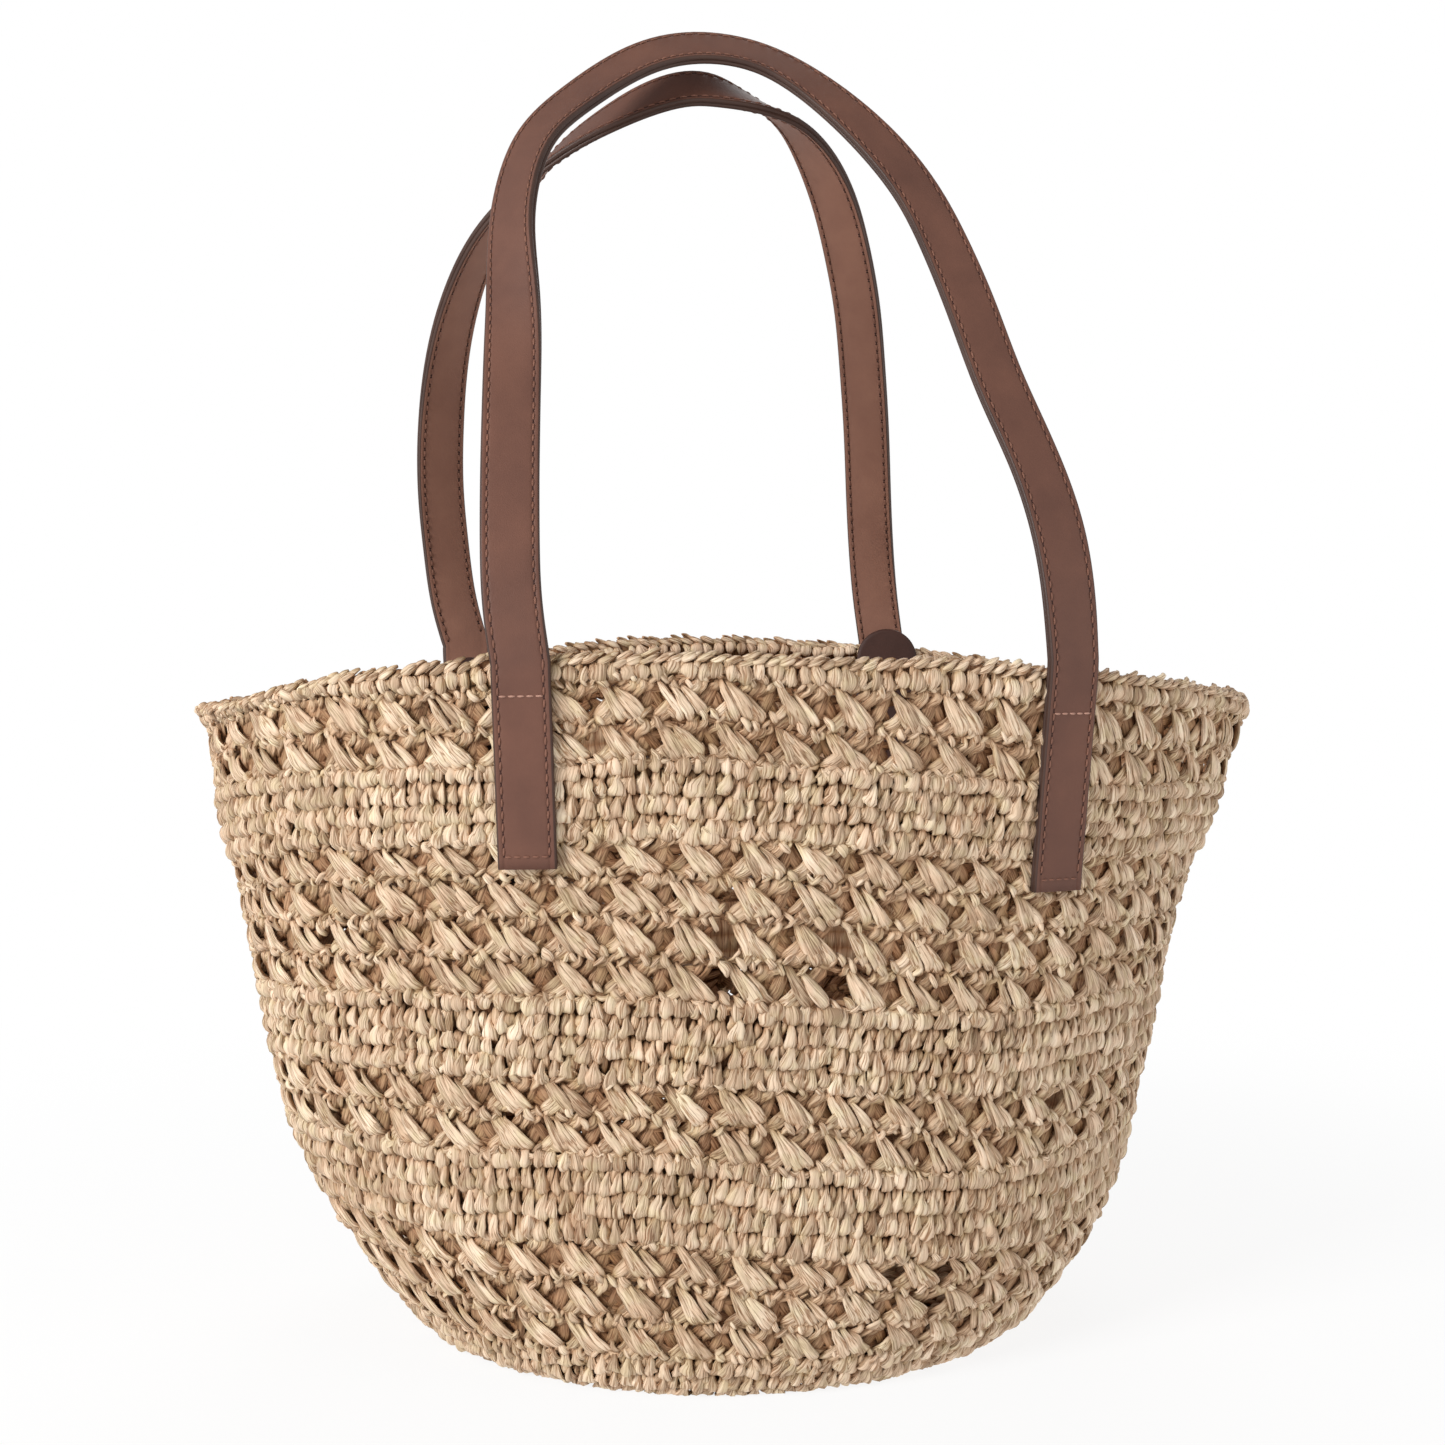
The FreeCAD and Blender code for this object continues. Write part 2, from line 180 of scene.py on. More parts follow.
def grid_at(grid, s, t):
    """Value of a grid at a share s of the way round and a level t, between its four neighbours."""
    row = np.clip((t - LEVELS[0]) / LEVEL_STEP, 0, len(LEVELS) - 1.0001)
    i = row.astype(int)
    f = (row - i)[..., None]
    column = np.mod(s, 1.0) * COLUMNS
    j = column.astype(int) % COLUMNS
    g = (column - np.floor(column))[..., None]
    k = (j + 1) % COLUMNS
    low = grid[i, j] * (1 - g) + grid[i, k] * g
    high = grid[i + 1, j] * (1 - g) + grid[i + 1, k] * g
    return low * (1 - f) + high * f


def wave(s, t, seeds):
    """Slow unevenness over the wall, between about -1 and 1."""
    total = 0.0
    for cycles, pitch, phase in seeds:
        total = total + np.sin(2 * np.pi * (cycles * s + t / pitch) + phase)
    return total / len(seeds)


# The wall is even at the floor and reaches its full unevenness, in millimetres, above CALM_BELOW
UNEVEN, CALM_BELOW = 0.9, 40.0
# Waves round the bag, rise in one wave, phase
ROW_WAVES = ((3, 390, 0.4), (5, -310, 2.1), (9, 260, 4), (14, -170, 1.3))
FACE_WAVES = ((2, 300, 1.9), (6, -240, 0.3), (11, 150, 3.3), (17, 110, 5.2))
# Level, sideways slump of the two ends, how far the ends draw in, sideways slump of the whole round
SLUMP = (
    (-110, 1.5, 1.8, -6), (0, 1.5, 1.8, -6), (15, 1.5, 2.2, -5), (40, 0, 2, -3), (80, -5, 0, -1),
    (110, -6.5, 0, 0), (150, -6.3, 0.5, 0), (190, -4.8, 2.3, 0), (215, -3, 1, 0), (240, -1.4, 2.4, 0),
    (262, 1.2, 2.4, 0), (271, 0, 0.5, 0), (290, 0, 0.5, 0),
)
# The rounds do not lie level: x, and how much higher they are in front there (and lower behind)
ROW_LEAN = (
    (-240, 4), (-217, 4), (-165, 2.6), (-155, 1.9), (-115, 1), (-60, 0.75), (-40, 0.5), (0, -0.05),
    (20, -0.3), (58, -0.6), (88, -0.9), (130, -0.6), (150, -0.3), (182, 0), (240, 0),
)
# Level, millimetres of lean there
LEAN_AT = (
    (-110, 0), (0, 0), (14.4, 2.5), (55, 4.8), (87, 4.3), (114, 5.4), (145, 4.5), (200, 5.2), (231, 6),
    (258.5, 4.6), (271, 0), (290, 0),
)
# The rounds from RIM_FROM up lean more: x, millimetres
RIM_FROM = 258.5
RIM_LEAN = (
    (-240, 2), (-217, 3), (-185, 7.5), (-165, 9), (-112, 7.5), (-60, 3), (-40, 1.5), (0, 0), (240, 0),
)
# How much higher the rounds run in front: level, then one column for each x of ROUND_X
ROUND_X = (-185, -130, -65, 0, 60, 125)
ROUND_RISE = (
    (-110, 0, 0, 0, 0, 0, 0), (14.4, 0, 0, 0, 0, 0, 0), (55, 0, 0, 2.5, -2.5, -5.5, -5),
    (87, -1, 2, 2.2, -2.5, -7, -6), (113, 0, 3.5, 1, -0.5, -3, -4.5), (145, -3, 1.5, 0, -2.3, -5, -4.5),
    (172, 0, 5, 3.6, 2.5, -0.7, -1), (200, 2, 5, 4.5, 4.5, 1.5, 1.5), (231, -4, -0.5, 0, 0, 0, -3),
    (258.5, 0, 0, 0, 0, 0, 0), (290, 0, 0, 0, 0, 0, 0),
)
# How much higher the rounds run all the way round: level, millimetres
RIM_RISE = ((-110, 0), (231, 0), (245, 0.8), (258.5, 2.2), (265.7, 0.9), (271, 0), (290, 0))


def round_rise(x, t):
    place = np.interp(x, ROUND_X, np.arange(len(ROUND_X)))
    total = 0.0
    for column in range(len(ROUND_X)):
        near = np.clip(1 - np.abs(place - column), 0, 1)
        total = total + along(ROUND_RISE, t, column + 1) * near * near * (3 - 2 * near)
    return total


def wall(s, t, d):
    """Points d out from the wall, and the wall's normals there."""
    s, t, d = np.broadcast_arrays(np.asarray(s, float), np.asarray(t, float), np.asarray(d, float))
    calm = np.clip(t / CALM_BELOW, 0, 1)
    t = t + UNEVEN * calm * wave(s, t, ROW_WAVES)
    d = d + UNEVEN * calm * wave(s, t, FACE_WAVES)
    normals = unit(grid_at(NORMALS, s, t))
    points = grid_at(GRID, s, t) + normals * d[..., None]
    points[..., 2] += np.maximum(0.0, t - BAG_HEIGHT)
    half_width, _ = half_sizes(np.clip(t, 0, BAG_HEIGHT))
    x = points[..., 0]
    share = x / half_width
    ends = share * share
    at_rim = np.clip((t - RIM_FROM) / (BAG_HEIGHT - RIM_FROM), 0, 1)
    lean = along(ROW_LEAN, x) * along(LEAN_AT, t) + along(RIM_LEAN, x) * at_rim
    front = -points[..., 1] / (MOUTH_DEPTH / 2)
    points[..., 2] += lean * front + round_rise(x, t) * np.maximum(front, 0) + along(RIM_RISE, t)
    points[..., 0] += along(SLUMP, t, 1) * ends - along(SLUMP, t, 2) * ends * share + along(SLUMP, t, 3)
    return points, normals


def rings(s, places):
    """Rounds of wall points, one for each level and depth."""
    return np.stack([wall(s, t, d)[0] for t, d in places])


def round_length(t):
    return float(np.interp(t, LEVELS, LENGTHS))


# ---- meshes made of many strands ----


def smooth(controls, count):
    """Curves through control rows: (strands, controls, values) to (strands, count, values)."""
    last = controls.shape[1] - 1
    x = np.linspace(0, last, count)
    i = np.minimum(x.astype(int), last - 1)
    u = (x - i)[None, :, None]
    p0 = controls[:, np.maximum(i - 1, 0)]
    p1 = controls[:, i]
    p2 = controls[:, i + 1]
    p3 = controls[:, np.minimum(i + 2, last)]
    curve = 2 * p1 + (p2 - p0) * u + (2 * p0 - 5 * p1 + 4 * p2 - p3) * u**2
    return 0.5 * (curve + (3 * p1 - p0 - 3 * p2 + p3) * u**3)


FLOOR_CLEAR = 0.15
# Share of a strand's own square of the baked picture that its side takes, with its ends above
SIDE_SHARE = 0.86
# Order of a square's corners in a strand, in a sheet and in a sheet that faces the other way
STRAND_ORDER, SHEET_ORDER, FLIPPED_ORDER = (0, 1, 2, 3), (0, 3, 2, 1), (1, 2, 3, 0)


def closed(index):
    """A grid of point numbers with its first column repeated at the end."""
    return np.concatenate([index, index[..., :1]], axis=-1)


def paired(u, v):
    return np.stack(np.broadcast_arrays(u, v), axis=-1)


class Heap:
    """Geometry that becomes one piece: strands and sheets with their attributes."""

    def __init__(self):
        self.points, self.tone, self.depth = [], [], []
        self.corners, self.sizes, self.strand_uv, self.bake_uv, self.slots = [], [], [], [], []
        self.count = 0
        self.cells = []

    def add_points(self, points, tone, depth):
        """Takes up points with their two attributes, and gives back a grid of their numbers."""
        shape = points.shape[:-1]
        self.points.append(points.reshape(-1, 3))
        self.tone.append(np.broadcast_to(tone, shape).reshape(-1))
        self.depth.append(np.broadcast_to(depth, shape).reshape(-1))
        index = self.count + np.arange(points.size // 3).reshape(shape)
        self.count += index.size
        return index

    def add_cells(self, n, weight=0):
        """Numbers of n new squares of the baked picture. A strand's weight is 0."""
        first = len(self.cells)
        self.cells += [weight] * n
        return first + np.arange(n)

    def add_faces(self, faces, strand_uv, cell_uv, cells, slot):
        """faces is (cells, ..., corners). cell_uv lies within the cell's own unit square."""
        self.corners.append(faces.reshape(-1))
        self.sizes.append(np.full(faces[..., 0].size, faces.shape[-1]))
        self.strand_uv.append(np.broadcast_to(strand_uv, faces.shape + (2,)).reshape(-1, 2))
        number = np.reshape(cells, (-1,) + (1,) * (faces.ndim - 1))
        number = np.broadcast_to(number, faces.shape).reshape(-1, 1)
        cell_uv = np.broadcast_to(cell_uv, faces.shape + (2,)).reshape(-1, 2)
        self.bake_uv.append(np.concatenate([cell_uv, number], axis=1))
        self.slots.append(np.broadcast_to(slot, faces.shape[:-1]).reshape(-1))

    def add_grid(self, index, uv, cell_uv, cells, slot, order):
        """Squares between the rows and columns of grids (cells, rows, columns)."""
        shape = index.shape + (2,)
        uv, cell_uv = np.broadcast_to(uv, shape), np.broadcast_to(cell_uv, shape)
        values = np.concatenate([index[..., None], uv, cell_uv], axis=-1)
        corners = (values[:, :-1, :-1], values[:, 1:, :-1], values[:, 1:, 1:], values[:, :-1, 1:])
        corners = np.stack([corners[k] for k in order], axis=3)
        self.add_faces(corners[..., 0].astype(int), corners[..., 1:3], corners[..., 3:], cells, slot)

    def tubes(self, middles, side, out, half_width, half_thick, tone, depth=0.0, sections=10, slot=0,
              fold=0.1, facing=1):
        """Closed strands. middles, side, out are (n, m, 3); half sizes (n, m)."""
        n, m = middles.shape[:2]
        phi = np.arange(sections) * 2 * np.pi / sections
        start = rng.uniform(0, 2 * np.pi, (n, 1, 2))
        turn = start + rng.uniform(-2.2, 2.2, (n, 1, 2)) * np.linspace(0, 1, m)[None, :, None]
        ridge = 1 + fold * np.cos(3 * phi + turn[..., :1]) + 0.6 * fold * np.cos(5 * phi + turn[..., 1:])
        across = half_width[..., None, None] * (np.cos(phi) * ridge)[..., None]
        off = half_thick[..., None, None] * (np.sin(phi) * ridge)[..., None]
        points = middles[:, :, None] + side[:, :, None] * across + out[:, :, None] * off
        points[..., 2] = np.maximum(points[..., 2], FLOOR_CLEAR)
        # depth attribute for the painted shade: the side of a strand turned into the wall lies deeper and is
        # painted darker
        depth = np.broadcast_to(depth, (n, m))[..., None] + facing * half_thick[..., None] * np.sin(phi)
        index = self.add_points(points, np.reshape(tone, (-1, 1, 1)), np.maximum(depth, -WALL - depth))
        steps = np.linalg.norm(np.diff(middles, axis=1), axis=2)
        run = np.concatenate([np.zeros((n, 1)), np.cumsum(steps, axis=1)], axis=1)
        offset = rng.uniform(0, 400, (n, 1, 1))
        k = np.arange(sections + 1)
        girth = half_width.mean(axis=1)[:, None, None] * k * (2 * math.pi / sections)
        uv = paired(girth * 0.75 + offset, run[..., None] + offset)
        cell_uv = paired(k / sections, (np.arange(m) / (m - 1) * SIDE_SHARE)[:, None])
        cells = self.add_cells(n)
        self.add_grid(closed(index), uv, cell_uv, cells, slot, STRAND_ORDER)
        ends = np.concatenate([index[:, 0], index[:, -1, ::-1]])
        spot = paired(0.25 + 0.2 * np.cos(phi), 0.93 + 0.05 * np.sin(phi))
        end_uv = spot + np.repeat(((0, 0), (0.5, 0)), n, axis=0)[:, None]
        self.add_faces(ends, np.repeat(offset, 2, axis=0), end_uv, np.tile(cells, 2), slot)

    def sheet(self, points, tone, depth, slot=0, flip=False):
        """A grid of points, (rows, columns, 3), as squares."""
        m, n = points.shape[:2]
        index = self.add_points(points, tone, depth)
        uv = paired(np.arange(n), np.arange(m)[:, None])
        order = FLIPPED_ORDER if flip else SHEET_ORDER
        self.add_grid(index[None], uv, uv / (n - 1, m - 1), self.add_cells(1, m * n), slot, order)

    def layout(self):
        """Each cell's own square: sheets take a strip on the left in rows, strands a grid in the rest."""
        weights = np.array(self.cells)
        strands = np.flatnonzero(weights == 0)
        sheets = np.flatnonzero(weights > 0)
        origin = np.zeros((len(weights), 2))
        size = np.zeros((len(weights), 2))
        split = 0.0 if not len(sheets) else (1.0 if not len(strands) else 0.4)
        for row, cell in enumerate(sheets):
            size[cell] = (split, 1 / len(sheets))
            origin[cell] = (0, row / len(sheets))
        if len(strands):
            width = 1 - split
            columns = max(1, math.ceil(math.sqrt(len(strands) * width * 1.3)))
            rows = math.ceil(len(strands) / columns)
            order = np.arange(len(strands))
            size[strands] = (width / columns, 1 / rows)
            origin[strands, 0] = split + (order % columns) * width / columns
            origin[strands, 1] = (order // columns) / rows
        return origin, size

    def piece(self, name, materials):
        mesh = bpy.data.meshes.new(name)
        points = np.concatenate(self.points) * MM
        corners = np.concatenate(self.corners)
        sizes = np.concatenate(self.sizes)
        origin, size = self.layout()
        bake = np.concatenate(self.bake_uv)
        cell = bake[:, 2].astype(int)
        placed = origin[cell] + size[cell] * (0.04 + 0.92 * bake[:, :2])

        def fill(target, key, values, kind=np.float32):
            target.foreach_set(key, values.reshape(-1).astype(kind))

        mesh.vertices.add(len(points))
        fill(mesh.vertices, "co", points)
        mesh.loops.add(len(corners))
        fill(mesh.loops, "vertex_index", corners, np.int32)
        mesh.polygons.add(len(sizes))
        fill(mesh.polygons, "loop_start", np.cumsum(sizes) - sizes, np.int32)
        fill(mesh.polygons, "material_index", np.concatenate(self.slots), np.int32)
        fill(mesh.polygons, "use_smooth", np.ones(len(sizes)), bool)
        for label, values in (("OFBake", placed), ("Strand", np.concatenate(self.strand_uv))):
            fill(mesh.uv_layers.new(name=label).data, "uv", values)
        # tone is each strand's own colour; depth drives the painted shade in the raffia
        for label, values in (("tone", self.tone), ("depth", self.depth)):
            fill(mesh.attributes.new(label, "FLOAT", "POINT").data, "value", np.concatenate(values))
        mesh.update(calc_edges=True)
        mesh.validate()
        piece = bpy.data.objects.new(name, mesh)
        bpy.context.scene.collection.objects.link(piece)
        for material in materials:
            mesh.materials.append(material)
        return piece


def frames(middles, out):
    """Side and out directions square to each strand's run."""
    run = np.gradient(middles, axis=1)
    run /= np.linalg.norm(run, axis=-1, keepdims=True) + 1e-9
    side = np.cross(run, out)
    side /= np.linalg.norm(side, axis=-1, keepdims=True) + 1e-9
    out = np.cross(side, run)
    return side, out


# Spread of the strands' tones, and the thinnest half width and half thickness of a strand
TONE_SPREAD, LEAST_WIDTH, LEAST_THICK = 0.16, 0.12, 0.1


def lay(heap, controls, count, sections=10, fold=0.1, tone=0.5, slot=0, inside=False, bare=0.0):
    """Strands on the wall. controls is (n, c, 6): share round, level, depth, half width, half thickness,
    roll. bare lifts the depth that the painted shade is taken from, so strands that lie in the open are
    painted lighter."""
    rows = smooth(controls, count)
    middles, out = wall(rows[..., 0], rows[..., 1], rows[..., 2])
    side, out = frames(middles, out)
    cos, sin = np.cos(rows[..., 5])[..., None], np.sin(rows[..., 5])[..., None]
    side, out = side * cos + out * sin, out * cos - side * sin
    half_width = np.maximum(rows[..., 3], LEAST_WIDTH)
    half_thick = np.maximum(rows[..., 4], LEAST_THICK)
    tones = np.clip(rng.normal(tone, TONE_SPREAD, len(controls)), 0, 1)
    depth = (-WALL - rows[..., 2] if inside else rows[..., 2]) + bare
    facing = -1 if inside else 1
    heap.tubes(middles, side, out, half_width, half_thick, tones, depth, sections, slot, fold, facing)


def crumpled(controls, aside, off, wide):
    """The same strands with every control moved a little: aside, off the wall, and in half width."""
    shape = controls.shape[:2]
    controls[..., 0] += rng.normal(0, aside, shape)
    controls[..., 2] += rng.normal(0, off, shape)
    controls[..., 3] *= rng.normal(1, wide, shape).clip(0.7, 1.4)
    return controls


def stitches(n, level, rise, table, phase=0.0, jitter=1.0):
    """Controls of one strand per repeat. table rows: across in pitches, up in row heights, depth, half
    width, half thickness. Each strand gets its own small shifts."""

    def drawn(spread, middle=0.0):
        return rng.normal(middle, spread * jitter, (n, 1))

    across, rows_up, depth, half_width, half_thick = np.array(table, float).T
    shift = drawn(0.07)
    lean = drawn(0.14)
    swell = drawn(0.13, 1.0).clip(0.7, 1.35)
    lift = drawn(0.3)
    rise_shift = drawn(0.1)
    stretch = drawn(0.08, 1.0)
    out = np.empty((n, len(table), 6))
    out[..., 0] = ((np.arange(n) + phase)[:, None] + across + shift + lean * (rows_up - 0.5)) / n
    out[..., 1] = level + rise * (0.5 + (rows_up - 0.5) * stretch + rise_shift)
    out[..., 2] = depth + lift
    out[..., 3] = half_width * swell
    out[..., 4] = half_thick * swell
    out[..., 5] = drawn(0.25)
    return crumpled(out, 0.035 * jitter / n, 0.17 * jitter, 0.11 * jitter)


# Strand shapes. Across in pitches, up in rows, depth mm, half width mm, half thickness mm.
DROP = (
    (0.86, 1.22, -3, 0.4, 0.5), (0.77, 0.98, -1.1, 0.75, 0.8), (0.67, 0.7, -0.3, 1.35, 1.15),
    (0.57, 0.42, 0.3, 2.15, 1.5), (0.5, 0.18, 0.2, 2.65, 1.5), (0.47, 0.02, -0.8, 2.4, 1.2),
    (0.46, -0.08, -2.2, 1.2, 0.8),
)
DROP_BEHIND = (
    (0.3, 1.1, -2.4, 0.9, 0.7), (0.28, 0.88, -0.95, 1.65, 1), (0.18, 0.6, -0.9, 1.7, 1.1),
    (0.08, 0.32, -1.6, 1.3, 0.9), (0, 0.04, -2.9, 0.7, 0.7),
)
KNOT = (
    (0.58, 1.08, -2.4, 1, 0.8), (0.55, 0.9, -0.6, 2.1, 1.3), (0.51, 0.58, 0.35, 2.55, 1.6),
    (0.47, 0.24, 0, 2.35, 1.5), (0.46, 0, -1.9, 1.2, 0.9),
)
KNOT_HOOK = (
    (-0.06, 1.02, -2.2, 0.5, 0.5), (0.12, 0.92, -0.7, 0.95, 0.7), (0.44, 0.86, -0.1, 1.05, 0.8),
    (0.8, 0.96, -0.7, 0.95, 0.7), (1, 1.08, -2.2, 0.5, 0.5),
)
# Up in centimetres in the ridges between openwork rounds
RIDGE_LEFT = (
    (0.02, 0.22, -2, 0.5, 0.5), (0.14, 0.17, -0.4, 1, 0.8), (0.3, 0.04, 0.45, 1.3, 0.95),
    (0.48, -0.09, -0.1, 1.05, 0.8), (0.6, -0.17, -1.9, 0.5, 0.5),
)
RIDGE_RIGHT = (
    (0.28, -0.16, -2.2, 0.45, 0.5), (0.48, -0.08, -0.7, 0.85, 0.7), (0.74, 0.06, -0.2, 1, 0.8),
    (0.98, 0.15, -0.8, 0.8, 0.65), (1.12, 0.2, -2.2, 0.45, 0.5),
)
RIDGE_CORE = (
    (-0.2, 0, -2.8, 0.9, 0.9), (0.3, 0.03, -2.1, 1.6, 1.2), (0.8, -0.03, -2.2, 1.5, 1.1),
    (1.25, 0, -2.9, 0.9, 0.9),
)


def close_row(heap, level, rise, count, phase):
    lay(heap, stitches(count, level, rise, DROP, phase), 13, 12, 0.24)
    lay(heap, stitches(count, level, rise, DROP_BEHIND, phase), 8, 8, 0.22, 0.45)


def knot_row(heap, level, rise, count, phase):
    lay(heap, stitches(count, level, rise, KNOT, phase), 11, 12, 0.22)
    lay(heap, stitches(count, level, rise, KNOT_HOOK, phase + 0.5), 8, 7, 0.2, 0.45)


def ridge(heap, level, count, phase):
    """Small uneven loops between two openwork rounds, over the cord that they are worked on."""
    lay(heap, stitches(count, level, 10.0, RIDGE_LEFT, phase, 1.5), 8, 8, 0.2)
    lay(heap, stitches(count, level, 10.0, RIDGE_RIGHT, phase, 1.5), 8, 8, 0.2, 0.45)
    lay(heap, stitches(count, level, 10.0, RIDGE_CORE, phase + 0.5), 6, 6, 0.15, 0.4)


def strands(picks, count, level, rise, table, shift_u=0.025, shift_w=0.13, lift=0.28, roll=0.0):
    """Controls of one strand at each picked repeat of an openwork round, each a little different."""
    across, rows_up, depth, half_width, half_thick = np.array(table, float).T
    n = len(picks)
    lean = rng.normal(0, 0.03, (n, 1))
    swell = rng.normal(1, shift_w, (n, 1)).clip(0.65, 1.4)
    out = np.empty((n, len(table), 6))
    out[..., 0] = (picks[:, None] + across + rng.normal(0, shift_u, (n, 1)) + lean * rows_up) / count
    out[..., 1] = level + rise * (rows_up + rng.normal(0, 0.025, (n, 1)))
    out[..., 2] = depth + rng.normal(0, lift, (n, 1))
    out[..., 3] = half_width * swell
    out[..., 4] = half_thick
    out[..., 5] = roll + rng.normal(0, 0.2, (n, 1))
    return crumpled(out, 0.01 / count, 0.1, 0.08)


# Share along the strand, depth, half width, half thickness
FRONT_SHAPE = (
    (-0.08, -2.8, 0.45, 0.5), (0.06, -0.9, 0.95, 0.65), (0.27, 0, 1.5, 0.8), (0.52, 0.45, 1.95, 0.85),
    (0.76, 0.3, 2.1, 0.85), (0.9, -0.5, 1.9, 0.8), (1.03, -2.6, 1.2, 0.6),
)
FRONT_ROLL = 0.12 - 0.2 * np.array(FRONT_SHAPE)[:, 0]
# Top and foot of each strand of a fan of two or three: across and up, how far it lies forward, width
FAN_OF_THREE = (
    (0.02, 1, 0.4, 0.02, 0, 1), (0.19, 0.9, 0.6, 0.04, 0.4, 1.05), (0.39, 0.76, 0.79, 0.08, 0.1, 0.95),
)
FAN_OF_TWO = ((0.05, 0.98, 0.48, 0.02, 0.1, 1.35), (0.31, 0.82, 0.76, 0.06, 0.35, 1.35))


def front_strand(top, high, foot, low, forward, wide):
    """Straight flat strand of the fan in front: narrow at its upper left, wide where the fan closes."""
    rows = []
    for q, depth, half_width, half_thick in FRONT_SHAPE:
        across = top + (foot - top) * q
        up = high + (low - high) * q
        rows.append((across, up, depth + forward, half_width * wide, half_thick))
    return rows


# Strands that come out from behind a fan at its lower left
BEHIND = (
    (
        (-0.1, 0.06, -2.4, 0.8, 0.6), (-0.02, 0.14, -0.9, 1.6, 0.85), (0.09, 0.25, -0.2, 2.1, 0.9),
        (0.22, 0.43, -0.9, 1.9, 0.85), (0.4, 0.66, -2.2, 1.6, 0.8), (0.56, 0.9, -2, 1.5, 0.8),
        (0.62, 1.04, -2.6, 0.8, 0.6),
    ),
    (
        (0, -0.06, -2.2, 0.9, 0.6), (0.08, 0.05, -0.9, 1.8, 0.85), (0.2, 0.2, -0.5, 2.1, 0.9),
        (0.36, 0.4, -1.6, 1.9, 0.85), (0.58, 0.64, -2.6, 1.6, 0.8), (0.7, 0.86, -2.2, 1.5, 0.8),
        (0.74, 1.02, -2.8, 0.8, 0.6),
    ),
)
# Start and top of each short loop at the upper right of a fan, height where it starts, half width
LOOPS = ((0.88, 0.96, 0.7, 1.5), (0.74, 0.84, 0.6, 1.6), (0.61, 0.72, 0.52, 1.6), (0.5, 0.6, 0.62, 1.4))
# Strands that close most holes from behind, darkened with painted shade by their depth and low tone
FILL = (
    ((0.62, 0.02, -3.3, 1.9, 0.8), (0.82, 0.4, -2.1, 2.7, 0.9), (1, 1, -3.1, 2.2, 0.8)),
    ((0.72, 1, -3.7, 2, 0.8), (0.94, 0.52, -2.5, 2.6, 0.9), (1.18, 0, -3.5, 2, 0.8)),
    ((0.55, 0.6, -3.7, 2.1, 0.8), (0.85, 0.2, -2.6, 2.4, 0.9), (1.2, 0.14, -3.5, 2, 0.8)),
    ((0.6, 0.78, -4.1, 2.1, 0.8), (0.9, 0.66, -3, 2.4, 0.9), (1.24, 0.74, -3.9, 2, 0.8)),
)
OPEN_SHARE, FAN_OF_THREE_SHARE = 0.04, 0.7


def loop(start, top, low, width):
    return (
        (start - 0.06, low - 0.14, -3.2, 0.6, 0.6),
        (start - 0.03, low + 0.08, -1.9, width, 0.9),
        ((start + top) / 2 + 0.03, (low + 1) / 2 + 0.02, -0.9, width * 1.05, 1.0),
        (top, 0.93, -0.9, width * 0.9, 0.9),
        (top - 0.01, 1.06, -2.4, 0.6, 0.6),
    )


def open_row(heap, level, rise, count, phase, clear=()):
    """One openwork round: a fan of flat strands per repeat, strands behind it leaning the other way,
    short loops under the round above, and strands behind most of the holes, darkened with painted shade."""
    k = np.arange(count) + phase
    three = rng.random(count) < FAN_OF_THREE_SHARE
    for fan, picks in ((FAN_OF_TWO, k[~three]), (FAN_OF_THREE, k[three])):
        for values in fan:
            rows = front_strand(*values)
            lay(heap, strands(picks, count, level, rise, rows, roll=FRONT_ROLL), 13, 14, 0.15)
    shut = rng.random(count) > OPEN_SHARE
    bare = np.zeros(count, bool)
    bare[list(clear)] = True
    for rows in BEHIND:
        lay(heap, strands(k[~np.roll(bare, 1)], count, level, rise, rows), 12, 10, 0.16, 0.45)
    for values in LOOPS:
        lay(heap, strands(k[~bare], count, level, rise, loop(*values), 0.035), 9, 9, 0.18, 0.42)
    # painted shade: the fill strands take a low tone, and their depth darkens them further
    for rows in FILL:
        lay(heap, strands(k[shut & ~bare], count, level, rise, rows, 0.04, 0.1, 0.15), 7, 8, 0.2, 0.42)


# ---- materials ----


